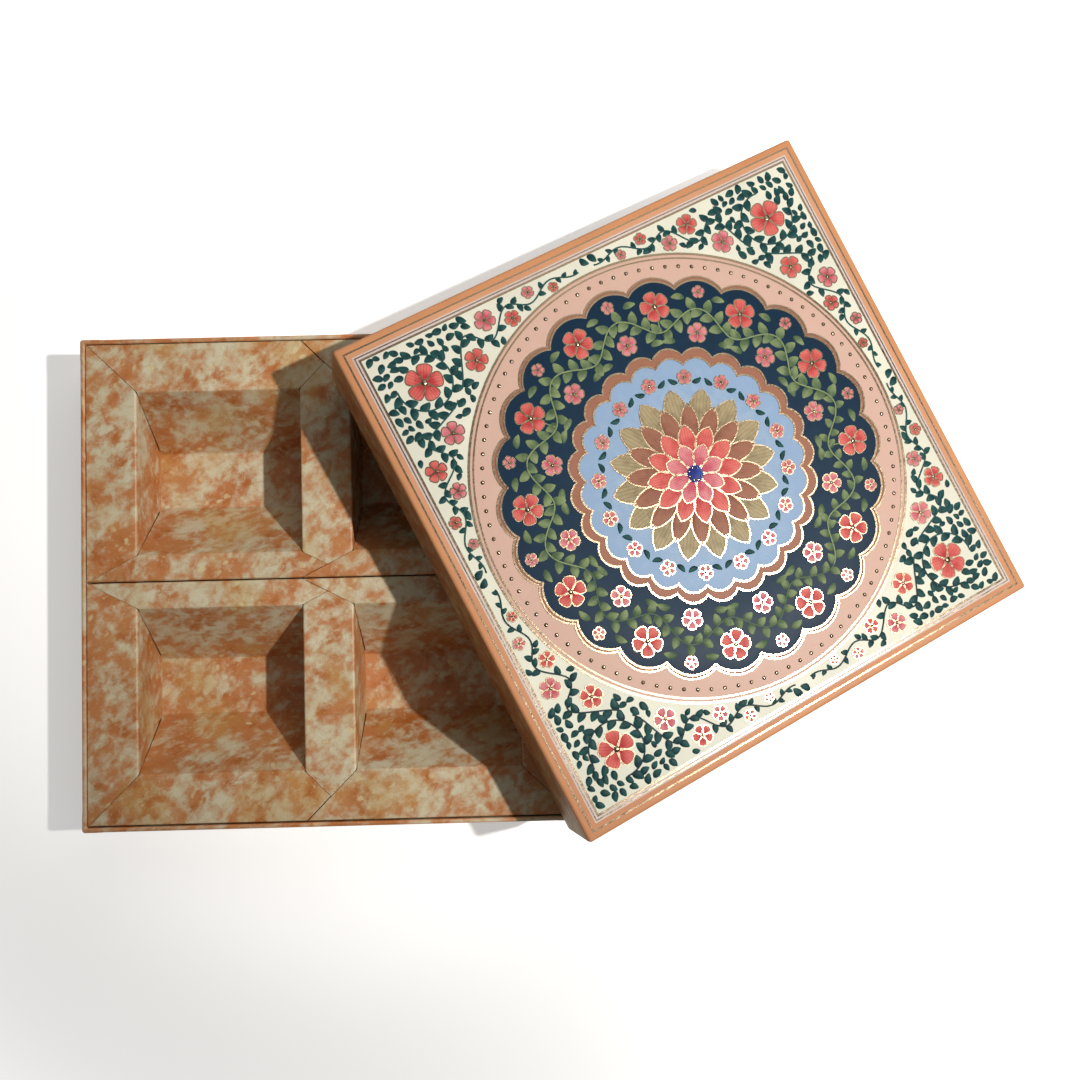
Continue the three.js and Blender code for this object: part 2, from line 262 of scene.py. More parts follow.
@dataclass(frozen=True)
class Profile:
    """A line in a plane with round folds: points, distance along it, and how far each is on a fold."""

    points: Array
    along: Array
    fold: Array

    @classmethod
    def folded(cls, corners: Line, radius: float, step: float, last_radius: float | None = None,
               end_hold: float = 0.0) -> "Profile":
        """Rounds each corner of a line with an arc that touches both of its sides.

        Args:
            corners: The line's corners, in millimetres.
            radius: Radius of the folds.
            step: Longest straight stretch between two points.
            last_radius: Radius of the last fold, where it has its own.
            end_hold: Where more than nothing, how far inside each end a point keeps the edge crisp.

        Returns:
            The profile.
        """
        corner = np.array(corners, float)
        runs = np.diff(corner, axis=0)
        heads = np.arctan2(runs[:, 1], runs[:, 0])
        turns = (np.diff(heads) + np.pi) % (2 * np.pi) - np.pi
        radii = np.full(len(turns), radius)
        radii[-1] = radius if last_radius is None else last_radius
        trims = np.concatenate([[0.0], radii * np.tan(np.abs(turns) / 2), [0.0]])
        units = runs / np.linalg.norm(runs, axis=1, keepdims=True)
        pieces: list[Array] = []
        folds: list[Array] = []
        for index, run in enumerate(runs):
            start = corner[index] + units[index] * trims[index]
            end = corner[index + 1] - units[index] * trims[index + 1]
            length = np.linalg.norm(run)
            line = np.linspace(0, 1, max(2, int(np.ceil(length / step)) + 1))
            if index > 0 and abs(turns[index - 1]) <= TINY:
                line = line[1:]
            if end_hold and index == 0:
                line = np.insert(line, 1, end_hold / length)
            if end_hold and index == len(turns):
                line = np.insert(line, -1, 1 - end_hold / length)
            pieces.append(start + line[:, None] * (end - start))
            folds.append(np.zeros(len(line)))
            if index < len(turns) and abs(turns[index]) > TINY:
                side = np.array([-units[index, 1], units[index, 0]]) * np.sign(turns[index])
                share = np.linspace(0, 1, FOLD_STEPS + 1)[1:-1]
                angle = heads[index] + turns[index] * share
                away = np.stack([np.sin(angle), -np.cos(angle)], -1) * np.sign(turns[index])
                pieces.append(end + (side + away) * radii[index])
                folds.append(np.sin(np.pi * share))
        points = np.concatenate(pieces)
        return cls(points, run_along(points), np.concatenate(folds))

    def then(self, other: "Profile") -> "Profile":
        """Carries this line on with another that starts at its end.

        Args:
            other: The other line.

        Returns:
            Both as one.
        """
        along = np.concatenate([self.along, self.along[-1] + other.along[1:]])
        return Profile(np.concatenate([self.points, other.points[1:]]), along,
                       np.concatenate([self.fold, other.fold[1:]]))


def square_loop(reach: Array, radius: Array, arc_steps: int, side_steps: int) -> tuple[Array, Array]:
    """A square path with round corners, run anticlockwise, for each reach of a profile.

    A corner's points are its centre plus the radius times the cosine and sine of a quarter
    turn; the sides are straight lines between the ends of neighbouring arcs.

    Args:
        reach: Half the square's side, one value for each point of a profile.
        radius: Corner radius, one value for each point of a profile.
        arc_steps: Steps round a corner.
        side_steps: Steps along a side.

    Returns:
        Points shaped (path, profile, 2), and the share of a corner turn at each path point.
    """
    quarter = np.arange(4) * np.pi / 2
    angle = quarter[:, None] + np.linspace(0, np.pi / 2, arc_steps + 1)
    sign = np.sqrt(2) * np.stack([np.cos(quarter + np.pi / 4), np.sin(quarter + np.pi / 4)], -1)
    centre = sign[:, None, None, :] * (reach - radius)[:, None]
    swing = np.stack([np.cos(angle), np.sin(angle)], -1)[:, :, None, :] * radius[:, None]
    arcs = centre + swing
    share = np.linspace(0, 1, side_steps + 1)[1:-1][:, None, None]
    starts = arcs[:, -1:]
    sides = starts + share * (np.roll(arcs, -1, axis=0)[:, :1] - starts)
    corner = np.concatenate([np.ones((4, arc_steps + 1)), np.zeros((4, side_steps - 1))], 1)
    loop = np.concatenate([arcs, sides], 1)
    return loop.reshape(-1, len(reach), 2), corner.reshape(-1)


@dataclass(frozen=True)
class Pull:
    """How paper is pulled round a square box: its corners, its laps, its bowed walls, and its wear with
    a painted highlight along the folds.
    """

    corner: float
    inner_corner: float
    lap: float
    lap_reach: float
    bow: float
    # Fold wear, which also paints the folds' highlight
    fold_wear: float
    corner_wear: float
    square_from: float = math.inf
    map_start: float = 0.0
    arc_steps: int = 8
    side_steps: int = 48

    def carry(self, profile: Profile, half: float, outer: Array,
              rise: Array) -> tuple[Array, Array, Array]:
        """Carries a section of the paper round the box.

        The path is a square with round corners at the section's distance. Outside, a point
        moves out by the lap near a corner, and in by the bow times a parabola along the side
        and half a sine up the wall.

        Args:
            profile: The section, as distance out from the box's side, and level.
            half: Half the box's side.
            outer: Whether each point of the section is outside.
            rise: Share of the wall's height at each point of the section.

        Returns:
            Points shaped (path, section, 2), their map places, and their wear with the painted fold
            highlight.
        """
        inset = profile.points[:, 0]
        radius = np.maximum(self.corner + inset, self.inner_corner)
        radius = np.where(inset <= -self.square_from, SHARP, radius)
        loop, turned = square_loop(half + inset, radius, self.arc_steps, self.side_steps)
        run = run_along(loop[:, 0])[:, None]
        flat = np.stack(np.broadcast_arrays(run, profile.along + self.map_start), -1)
        # Folds get wear and a painted highlight; the outer corners get wear
        wear = np.maximum(profile.fold * self.fold_wear, turned[:, None] * self.corner_wear * outer)
        side = np.abs(loop).max(-1)
        least = np.abs(loop).min(-1)
        middle = np.sin(np.pi * np.clip(rise, 0, 1))
        push = self.lap * (half - least < self.lap_reach)
        push = push - self.bow * (1 - np.clip(least / half, 0, 1) ** 2) * middle
        lean = np.where(outer, push, 0.0)[..., None] * loop / np.maximum(side, TINY)[..., None]
        return loop + lean * (np.abs(loop) >= side[..., None] - self.corner), flat, wear


# Nodes


class Cloud(Enum):
    """The finishes' noises: cells to the metre, detail and roughness of each."""

    PAINT = (9.0, 3.0, 0.55)
    DENSE = (13.0, 1.0, 0.4)
    DRIFT = (24.0, 3.0, 0.5)
    TONE = (26.0, 4.0, 0.55)
    GROUP = (36.0, 2.0, 0.5)
    WAVE = (38.0, 2.0, 0.5)
    RUB = (60.0, 3.0, 0.55)
    DEPTH = (70.0, 5.0, 0.6)
    BROAD = (76.0, 3.0, 0.5)
    STIR = (80.0, 4.0, 0.6)
    SMALL = (205.0, 5.0, 0.6)
    INK = (210.0, 4.0, 0.6)
    FIBRE = (420.0, 3.0, 0.6)
    BITS = (430.0, 2.0, 0.5)
    SCUFF = (700.0, 3.0, 0.55)
    FLECK = (900.0, 3.0, 0.6)
    SPECKLE = (1400.0, 2.0, 0.5)
    TOOTH = (2400.0, 3.0, 0.6)


class Cut(Enum):
    """How the noises are cut: where each starts and ends, and the values that those become."""

    BLOTCH = (0.405, 0.59, 0.0, 1.0)
    CORE = (0.35, 0.46, 0.5, 0.0)
    DRIFT = (0.5, 0.7, 0.0, 0.45)
    DEPTH = (0.47, 0.68, 0.0, 0.9)
    CHOSEN = (0.68, 0.7, 0.0, 1.0)
    GROUP = (0.48, 0.58, 0.0, 0.75)
    SPOT = (0.2, 0.36, 1.0, 0.0)
    BITS = (0.62, 0.74, 0.0, 0.5)
    SPECKLE = (0.3, 0.7, 0.93, 1.06)
    TONE = (0.3, 0.7, 0.94, 1.05)
    SHEEN = (0.3, 0.7, -0.05, 0.06)
    RUB = (0.36, 0.62, 0.2, 1.0)


# The mottle's streaks, how far its clouds are stirred in metres, their weights and its spots
STREAK_TURN = math.radians(38)
STREAK_LENGTHS = (1.12, 0.96, 1.0)
STIR_MIDDLE = (0.5, 0.5, 0.5)
STIR_REACH = 0.007
DENSE_MIDDLE = 0.47
MOTTLE_WEIGHTS = (0.5, 0.5, 0.3)
DEPTH_WARP = 0.3
SPOT_CELLS = 210.0
# The paper's fibres, the weights and height of its tooth in metres, and the weights of the noises in
# its rubbed folds and painted fold highlight
FIBRE_TURN = 0.6
FIBRE_LENGTHS = (1.0, 0.14, 0.5)
TOOTH_WEIGHTS = (0.45, 0.3, 1.4)
TOOTH_HEIGHT = 0.0004
RUB_AND_HIGHLIGHT_WEIGHTS = (0.6, 0.4)


class Nodes:
    """Short calls to place and join the nodes of one tree."""

    def __init__(self, tree: NodeTree) -> None:
        """Keeps the tree."""
        self.tree = tree

    def feed(self, socket: Socket, value: object) -> None:
        """Joins a socket to another, or sets its value.

        Args:
            socket: The input that is fed.
            value: An output socket, or a plain value.
        """
        if isinstance(value, Socket):
            self.tree.links.new(value, socket)
        else:
            socket.default_value = value

    def add(self, kind: str, inputs: dict | None = None, **settings: object) -> bpy.types.Node:
        """Places a node.

        Args:
            kind: Node type without its prefix.
            inputs: Values or sockets by input name or number.
            settings: The node's own settings.

        Returns:
            The node.
        """
        node = self.tree.nodes.new("ShaderNode" + kind)
        for key, value in settings.items():
            setattr(node, key, value)
        for key, value in (inputs or {}).items():
            self.feed(node.inputs[key], value)
        return node

    def math(self, operation: str, first: object, second: object = 0.0) -> Socket:
        """Result of a sum on two values."""
        return self.add("Math", {0: first, 1: second}, operation=operation).outputs[0]

    def weighted(self, weights: tuple[float, ...], *values: object) -> Socket:
        """Sum of values, each times its weight."""
        parts = [self.math("MULTIPLY", value, weight) for value, weight in zip(values, weights)]
        return functools.reduce(functools.partial(self.math, "ADD"), parts)

    def vector(self, operation: str, inputs: dict) -> Socket:
        """Result of a sum on vectors."""
        return self.add("VectorMath", inputs, operation=operation).outputs[0]

    def mix(self, share: object, first: object, second: object, blend: str = "MIX") -> Socket:
        """Colour between two colours; the share is the second's."""
        inputs = {0: share, 6: first, 7: second}
        return self.add("Mix", inputs, data_type="RGBA", blend_type=blend).outputs[2]

    def shaded(self, colour: object, value: object) -> Socket:
        """Colour times a value."""
        grey = self.add("CombineColor", {0: value, 1: value, 2: value}).outputs[0]
        return self.mix(1.0, colour, grey, "MULTIPLY")

    def spread(self, value: object, low: float, high: float, least: object = 0.0,
               most: object = 1.0) -> Socket:
        """Value eased from one range to another."""
        inputs = {"Value": value, "From Min": low, "From Max": high, "To Min": least, "To Max": most}
        return self.add("MapRange", inputs, interpolation_type="SMOOTHSTEP").outputs[0]

    def cut(self, value: object, kind: Cut) -> Socket:
        """A noise cut in one of the finishes' ways."""
        return self.spread(value, *kind.value)

    def cloud(self, vector: object, kind: Cloud, warp: float = 0.0, coloured: bool = False) -> Socket:
        """Lays a cloud noise over a vector.

        Args:
            vector: The places.
            kind: The noise.
            warp: How far it is distorted.
            coloured: Whether it gives a colour, and not a value.

        Returns:
            The noise.
        """
        cells, detail, rough = kind.value
        inputs = {"Vector": vector, "Scale": cells, "Detail": detail, "Roughness": rough,
                  "Distortion": warp}
        return self.add("TexNoise", inputs).outputs[int(coloured)]

    def seen(self, unseen: object, seen: object) -> Socket:
        """One value for the eye and another for everything else."""
        eye = self.add("LightPath").outputs["Is Camera Ray"]
        return self.spread(eye, 0.0, 1.0, unseen, seen)

    def drawn_out(self, vector: object, turned: float, lengths: Place) -> Socket:
        """Vector turned about z, then divided by a length on each axis, which draws a pattern out."""
        inputs = {"Vector": vector, "Rotation": (0.0, 0.0, turned), "Scale": lengths}
        return self.add("Mapping", inputs, vector_type="TEXTURE").outputs[0]


@dataclass(frozen=True)
class Effect:
    """A node group in the making: its nodes, its inputs and its end node."""

    nodes: Nodes
    given: bpy.types.Node
    out: bpy.types.Node

    @classmethod
    def start(cls, name: str, inputs: dict[str, object], outputs: dict[str, str]) -> "Effect":
        """Opens a group.

        Args:
            name: The group's name.
            inputs: Default of each input; a float, a colour, or None for a vector.
            outputs: Socket kind of each output.

        Returns:
            The open group.
        """
        tree = bpy.data.node_groups.new(name, "ShaderNodeTree")
        for label, value in inputs.items():
            kind = "Vector" if value is None else "Float" if isinstance(value, float) else "Color"
            socket = tree.interface.new_socket(label, in_out="INPUT", socket_type="NodeSocket" + kind)
            if value is not None:
                socket.default_value = value
        for label, kind in outputs.items():
            tree.interface.new_socket(label, in_out="OUTPUT", socket_type="NodeSocket" + kind)
        return cls(Nodes(tree), tree.nodes.new("NodeGroupInput"), tree.nodes.new("NodeGroupOutput"))

    def close(self, **results: Socket) -> NodeTree:
        """Feeds the group's outputs.

        Args:
            results: What each output gives, by its name.

        Returns:
            The finished group.
        """
        for label, result in results.items():
            self.nodes.feed(self.out.inputs[label], result)
        return self.nodes.tree


@functools.cache
def mottle_effect() -> NodeTree:
    """Sponged marbling: ragged clouds cut into pale and rust blotches, with pale spots and flecks.

    Returns:
        The node group.
    """
    inputs = {"Vector": None, **MottleTones().colours()}
    effect = Effect.start("sponged_mottle", inputs, {"Color": "Color"})
    nodes = effect.nodes
    given = effect.given.outputs
    flat = given["Vector"]
    streaked = nodes.drawn_out(flat, STREAK_TURN, STREAK_LENGTHS)
    stir = nodes.cloud(streaked, Cloud.STIR, coloured=True)
    pushed = nodes.vector("SUBTRACT", {0: stir, 1: STIR_MIDDLE})
    eased = nodes.vector("SCALE", {0: pushed, "Scale": STIR_REACH})
    place = nodes.vector("ADD", {0: streaked, 1: eased})
    dense = nodes.math("SUBTRACT", nodes.cloud(flat, Cloud.DENSE), DENSE_MIDDLE)
    cloud = nodes.weighted(MOTTLE_WEIGHTS, nodes.cloud(place, Cloud.BROAD),
                           nodes.cloud(place, Cloud.SMALL), dense)
    mask = nodes.cut(cloud, Cut.BLOTCH)
    tone = nodes.mix(mask, given["Pale"], given["Rust"])
    tone = nodes.mix(nodes.cut(cloud, Cut.CORE), tone, given["Bright"])
    drift = nodes.cut(nodes.cloud(flat, Cloud.DRIFT), Cut.DRIFT)
    tone = nodes.mix(drift, tone, given["Ochre"])
    depth = nodes.cut(nodes.cloud(place, Cloud.DEPTH, DEPTH_WARP), Cut.DEPTH)
    tone = nodes.mix(nodes.math("MULTIPLY", depth, mask), tone, given["Deep"])
    cells = nodes.add("TexVoronoi", {"Vector": place, "Scale": SPOT_CELLS}).outputs
    chosen = nodes.cut(nodes.add("SeparateColor", {0: cells["Color"]}).outputs[0], Cut.CHOSEN)
    group = nodes.cut(nodes.cloud(flat, Cloud.GROUP), Cut.GROUP)
    spots = nodes.math("MULTIPLY", nodes.cut(cells["Distance"], Cut.SPOT), chosen)
    tone = nodes.mix(nodes.math("MULTIPLY", spots, group), tone, given["Fleck"])
    bits = nodes.cut(nodes.cloud(place, Cloud.BITS), Cut.BITS)
    tone = nodes.mix(bits, tone, given["Fleck"])
    speckle = nodes.cut(nodes.cloud(flat, Cloud.SPECKLE), Cut.SPECKLE)
    return effect.close(Color=nodes.shaded(tone, speckle))


@functools.cache
def grain_effect() -> NodeTree:
    """Paper tooth: fine noise with stretched fibres, as a height, and a slow change of tone.

    Returns:
        The node group.
    """
    effect = Effect.start("paper_grain", {"Vector": None, "Scale": 1.0},
                          {"Height": "Float", "Tone": "Float", "Roughness": "Float"})
    nodes = effect.nodes
    given = effect.given.outputs
    place = nodes.vector("SCALE", {0: given["Vector"], "Scale": given["Scale"]})
    fibre = nodes.cloud(nodes.drawn_out(place, FIBRE_TURN, FIBRE_LENGTHS), Cloud.FIBRE)
    height = nodes.weighted(TOOTH_WEIGHTS, nodes.cloud(place, Cloud.TOOTH), fibre,
                            nodes.cloud(place, Cloud.WAVE))
    tone = nodes.cut(nodes.cloud(place, Cloud.TONE), Cut.TONE)
    return effect.close(Height=height, Tone=tone, Roughness=nodes.cut(fibre, Cut.SHEEN))


@functools.cache
def wear_and_highlight_effect() -> NodeTree:
    """Rubbed folds with a painted highlight: the wear and highlight value broken up by two noises.

    Returns:
        The node group.
    """
    effect = Effect.start("rubbed_fold", {"Vector": None, "Wear": 0.0}, {"Mask": "Float"})
    nodes = effect.nodes
    given = effect.given.outputs
    broken = nodes.weighted(RUB_AND_HIGHLIGHT_WEIGHTS, nodes.cloud(given["Vector"], Cloud.RUB),
                            nodes.cloud(given["Vector"], Cloud.SCUFF))
    return effect.close(Mask=nodes.math("MULTIPLY", given["Wear"], nodes.cut(broken, Cut.RUB)))


@dataclass(frozen=True)
class Dress:
    """A material in the making, with the grain that all papers share."""

    material: Material
    nodes: Nodes
    shader: bpy.types.Node
    place: Socket
    grain: bpy.types.Node

    @classmethod
    def start(cls, name: str, flat: bool, grain_scale: float, bump: float) -> "Dress":
        """Opens a material with its shader, its places, its grain and the bump of that grain.

        Args:
            name: The material's name.
            flat: Whether patterns follow the piece's flat map, and not the object's space.
            grain_scale: Scale of the paper grain.
            bump: Strength of the grain's bump.

        Returns:
            The open material.
        """
        material = bpy.data.materials.new(name)
        material.use_nodes = True
        nodes = Nodes(material.node_tree)
        shader = material.node_tree.nodes["Principled BSDF"]
        if flat:
            place = nodes.add("UVMap", uv_map=UV_NAME).outputs[0]
        else:
            place = nodes.add("TexCoord").outputs["Object"]
        grain = nodes.add("Group", {"Vector": place, "Scale": grain_scale}, node_tree=grain_effect())
        raised = nodes.add(
            "Bump", {"Strength": bump, "Distance": TOOTH_HEIGHT, "Height": grain.outputs["Height"]})
        nodes.feed(shader.inputs["Normal"], raised.outputs[0])
        return cls(material, nodes, shader, place, grain)

    def rough(self, middle: float) -> None:
        """Sets a roughness that changes with the grain."""
        self.nodes.feed(self.shader.inputs["Roughness"],
                        self.nodes.math("ADD", self.grain.outputs["Roughness"], middle))

    def toned(self, colour: object) -> Socket:
        """Colour with the grain's slow change of tone."""
        return self.nodes.shaded(colour, self.grain.outputs["Tone"])

    def worn(self, colour: object, bare: Colour, most: float) -> Socket:
        """Rubs a colour towards the bare paper along the folds, which also paints their highlight.

        Args:
            colour: The colour.
            bare: Screen colour of the bare paper, which is also the painted highlight.
            most: Most that the colour gives way.

        Returns:
            The rubbed colour, with its painted highlight.
        """
        value = self.nodes.add("Attribute", attribute_name=WEAR_AND_HIGHLIGHT_NAME).outputs["Fac"]
        rub_and_highlight = self.nodes.add("Group", {"Vector": self.place, "Wear": value}, node_tree=wear_and_highlight_effect())
        # Pale along the folds: rubbed paper and a painted highlight
        share = self.nodes.math("MULTIPLY", rub_and_highlight.outputs["Mask"], most)
        return self.nodes.mix(share, colour, linear(*bare))

    def paint(self, colour: object) -> Material:
        """Feeds the shader its colour and gives the finished material."""
        self.nodes.feed(self.shader.inputs["Base Color"], colour)
        return self.material


@dataclass(frozen=True)
class MottleTones:
    """The tones of a sponged mottle."""

    bright: Colour = (208, 202, 178)
    pale: Colour = (195, 182, 151)
    rust: Colour = (182, 119, 70)
    deep: Colour = (165, 90, 29)
    ochre: Colour = (184, 146, 76)
    fleck: Colour = (206, 188, 142)

    def colours(self) -> dict[str, tuple[float, ...]]:
        """Each tone's scene colour, by the name of its input."""
        return {name.title(): linear(*tone) for name, tone in asdict(self).items()}

    def on(self, dress: Dress) -> Socket:
        """The mottle's colour in a material that is being made."""
        inputs = {"Vector": dress.place, **self.colours()}
        return dress.nodes.add("Group", inputs, node_tree=mottle_effect()).outputs["Color"]


@dataclass(frozen=True)
class MottledPaper:
    """Paper with sponged blotches of cream and rust, rubbed pale on its folds, where the pale is partly
    a painted highlight.
    """

    name: str = "mottled_paper"
    tones: MottleTones = MottleTones()
    # Pale colour of the folds: bare paper and a painted highlight
    bare: Colour = (218, 186, 152)
    gloss: float = 0.5
    wear: float = 0.3

    def material(self) -> Material:
        """Mixes the paper's finish.

        Returns:
            The material.
        """
        dress = Dress.start(self.name, flat=True, grain_scale=1.0, bump=0.22)
        dress.rough(self.gloss)
        return dress.paint(dress.worn(dress.toned(self.tones.on(dress)), self.bare, self.wear))


@dataclass(frozen=True)
class WrapPaper:
    """The lid's wrap: plain coated paper on top that gives way below the fold to a brown mottle, darker
    than the tray's as painted shade.
    """

    name: str = "lid_wrap_paper"
    light: Colour = (186, 126, 83)
    # Wall tones: the tray's mottle darkened, partly as painted shade on the lid's walls
    walls: MottleTones = MottleTones(
        bright=(194, 174, 136), pale=(182, 154, 112), rust=(172, 106, 58),
        deep=(150, 80, 30), ochre=(172, 128, 62), fleck=(192, 168, 120))
    # Pale colour of the folds: bare paper and a painted highlight
    bare: Colour = (236, 194, 156)
    gloss: float = 0.45
    shine: float = 0.3
    wear: float = 0.3
    wall_end: float = 0.0675
    top_start: float = 0.0715

    def material(self) -> Material:
        """Mixes the wrap's finish.

        Returns:
            The material.
        """
        dress = Dress.start(self.name, flat=True, grain_scale=1.0, bump=0.16)
        dress.shader.inputs["Specular IOR Level"].default_value = self.shine
        nodes = dress.nodes
        rise = nodes.add("SeparateXYZ", {0: dress.place}).outputs[1]
        wall = nodes.spread(rise, self.wall_end, self.top_start, 1.0, 0.0)
        # Below the fold the walls take the darkened mottle, partly painted shade
        tone = nodes.mix(wall, linear(*self.light), self.walls.on(dress))
        dress.rough(self.gloss)
        return dress.paint(dress.worn(dress.toned(tone), self.bare, self.wear))


@dataclass(frozen=True)
class Ink:
    """Printed colour under a satin film, running from a root tone to a tip tone along each motif."""

    name: str
    root: Colour
    tip: Colour
    veins: float = 0.0
    vein_waves: float = 22.0
    vein_start: float = 0.55
    vein_shade: float = 0.55
    ragged: float = 0.22
    ragged_ends: tuple[float, float] = (0.3, 0.7)
    gloss: float = 0.4
    shine: float = 0.06

    def material(self) -> Material:
        """Mixes the ink's finish.

        Returns:
            The material.
        """
        dress = Dress.start("ink_" + self.name, flat=True, grain_scale=1.0, bump=0.1)
        dress.shader.inputs["Specular IOR Level"].default_value = self.shine
        nodes = dress.nodes
        parts = nodes.add("SeparateXYZ", {0: dress.place})
        cloud = nodes.cloud(nodes.add("TexCoord").outputs["Object"], Cloud.INK)
        run = nodes.math("ADD", nodes.math("MULTIPLY", parts.outputs[1], 1.0 / MM),
                         nodes.spread(cloud, *self.ragged_ends, -self.ragged, self.ragged))
        tone = nodes.mix(nodes.spread(run, 0.0, 1.0), linear(*self.root), linear(*self.tip))
        across = nodes.math("SINE", nodes.math("MULTIPLY", parts.outputs[0], self.vein_waves / MM))
        vein = nodes.spread(across, self.vein_start, 1.0, 0.0, self.veins)
        dark = linear(*(share * self.vein_shade for share in self.root))
        dress.rough(self.gloss)
        return dress.paint(nodes.mix(vein, dress.toned(tone), dark))


@dataclass(frozen=True)
class Foil:
    """Hot-stamped foil, slightly crinkled."""

    name: str = "stamped_foil"
    colour: Colour = (140, 124, 102)
    roughness: float = 0.22

    def material(self) -> Material:
        """Mixes the foil's finish.

        Returns:
            The material.
        """
        dress = Dress.start(self.name, flat=False, grain_scale=0.7, bump=0.14)
        dress.shader.inputs["Metallic"].default_value = 1.0
        dress.rough(self.roughness)
        return dress.paint(dress.toned(linear(*self.colour)))


@dataclass(frozen=True)
class Board:
    """Uncoated board or paper with flecks of its fibre."""

    name: str
    colour: Colour
    fleck: Colour
    share: float
    roughness: float = 0.85
    fleck_turn: float = 0.4
    fleck_lengths: Place = (1.0, 0.45, 1.0)
    fleck_ends: tuple[float, float] = (0.58, 0.7)

    def material(self) -> Material:
        """Mixes the board's finish.

        Returns:
            The material.
        """
        dress = Dress.start(self.name, flat=False, grain_scale=1.0, bump=0.35)
        nodes = dress.nodes
        drawn = nodes.drawn_out(dress.place, self.fleck_turn, self.fleck_lengths)
        flecks = nodes.spread(nodes.cloud(drawn, Cloud.FLECK), *self.fleck_ends, 0.0, self.share)
        dress.rough(self.roughness)
        return dress.paint(nodes.mix(flecks, dress.toned(linear(*self.colour)), linear(*self.fleck)))


@dataclass(frozen=True)
class FloorPaint:
    """Matt white paint, hardly uneven, that glows for the eye alone."""

    name: str = "floor_paint"
    light: Colour = (250, 250, 250)
    dark: Colour = (248, 248, 248)
    roughness: float = 0.8
    glow: float = 0.38
    far_glow: float = 1.0
    near_reach: float = 0.2
    far_reach: float = 0.42

    def material(self) -> Material:
        """Mixes the paint's finish.

        Returns:
            The material.
        """
        dress = Dress.start(self.name, flat=False, grain_scale=0.5, bump=0.05)
        nodes = dress.nodes
        away = nodes.add("VectorMath", {0: dress.place}, operation="LENGTH").outputs["Value"]
        glow = nodes.spread(away, self.near_reach, self.far_reach, self.glow, self.far_glow)
        nodes.feed(dress.shader.inputs["Emission Strength"], nodes.seen(0.0, glow))
        dress.rough(self.roughness)
        cloud = nodes.cloud(dress.place, Cloud.PAINT)
        return dress.paint(nodes.mix(cloud, linear(*self.light), linear(*self.dark)))


# The stage


@dataclass
class Studio:
    """Floor, lights and the camera at the photograph's place."""

    focal_px: float = 1194.6
    frame_px: float = 1080.0
    sensor: float = 36.0
    near_clip: float = 0.01
    eye: Place = (0.09499, -0.01455, 0.59649)
    eye_turn: Place = (3.072, -0.358, -1.423)
    floor_half: float = 4.0
    floor_cells: int = 40
    floor_drop: float = 0.00015
    key_place: Place = (0.835, 0.05, 1.22)
    key_aim: Place = (0.185, 0.09, 0.04)
    key_tone: Colour = (255, 252, 247)
    key_size: float = 0.036
    key_power: float = 83.5
    key_cone: float = 33.5
    fill_place: Place = (0.5, 0.95, 1.0)
    fill_aim: Place = (0.05, 0.0, 0.04)
    fill_tone: Colour = (255, 250, 242)
    fill_size: float = 1.2
    fill_power: float = 4.2
    sky: float = 0.16
    horizon: float = 0.95

    def build(self) -> None:
        """Makes the camera, the lights, the backdrop and the floor."""
        self.camera()
        self.lights()
        self.backdrop()
        self.floor()

    def camera(self) -> None:
        """Sets the camera where the photograph was taken."""
        lens = bpy.data.cameras.new("eye")
        lens.sensor_width = self.sensor
        lens.lens = self.sensor * self.focal_px / self.frame_px
        lens.clip_start = self.near_clip
        camera = bpy.data.objects.new("eye", lens)
        camera.location = self.eye
        camera.rotation_euler = tuple(map(math.radians, self.eye_turn))
        scene = bpy.context.scene
        scene.collection.objects.link(camera)
        scene.camera = camera
        scene.view_settings.view_transform = "Standard"

    def lights(self) -> None:
        """Hangs a small key light and a wide fill."""
        key = self.light("key", "SPOT", self.key_place, self.key_aim, self.key_power)
        key.color = linear(*self.key_tone)[:3]
        key.shadow_soft_size = self.key_size / 2
        key.spot_size = math.radians(self.key_cone)
        key.spot_blend = 1.0
        fill = self.light("fill", "AREA", self.fill_place, self.fill_aim, self.fill_power)
        fill.color = linear(*self.fill_tone)[:3]
        fill.shape = "DISK"
        fill.size = self.fill_size

    def light(self, name: str, kind: str, place: Place, aim: Place, power: float) -> bpy.types.Light:
        """Adds a light.

        Args:
            name: The light's name.
            kind: Its kind.
            place: Where it hangs, in metres.
            aim: The point that it faces.
            power: Its power in watts.

        Returns:
            The light.
        """
        lamp = bpy.data.lights.new(name, kind)
        lamp.energy = power
        holder = bpy.data.objects.new(name, lamp)
        holder.location = place
        holder.rotation_euler = (Vector(aim) - Vector(place)).to_track_quat("-Z", "Y").to_euler()
        bpy.context.scene.collection.objects.link(holder)
        return lamp

    def backdrop(self) -> None:
        """Puts up a plain backdrop that is pale for the eye and dim as a light."""
        world = bpy.data.worlds.new("studio")
        world.use_nodes = True
        ground = world.node_tree.nodes["Background"]
        ground.inputs["Color"].default_value = linear(*self.key_tone)
        nodes = Nodes(world.node_tree)
        nodes.feed(ground.inputs["Strength"], nodes.seen(self.sky, self.horizon))
        bpy.context.scene.world = world

    def floor(self) -> None:
        """Lays the pale floor: a level grid just clear of the base's underside."""
        side = self.floor_cells + 1
        grid = square_grid(self.floor_half, self.floor_cells)
        points = np.concatenate([grid, np.full((side, side, 1), -self.floor_drop)], -1)
        mesh = bpy.data.meshes.new("floor")
        mesh.from_pydata(points.reshape(-1, 3), [], grid_faces(side, side))
        mesh.materials.append(FloorPaint().material())
        ground = bpy.data.objects.new("floor", mesh)
        bpy.context.scene.collection.objects.link(ground)


# The base


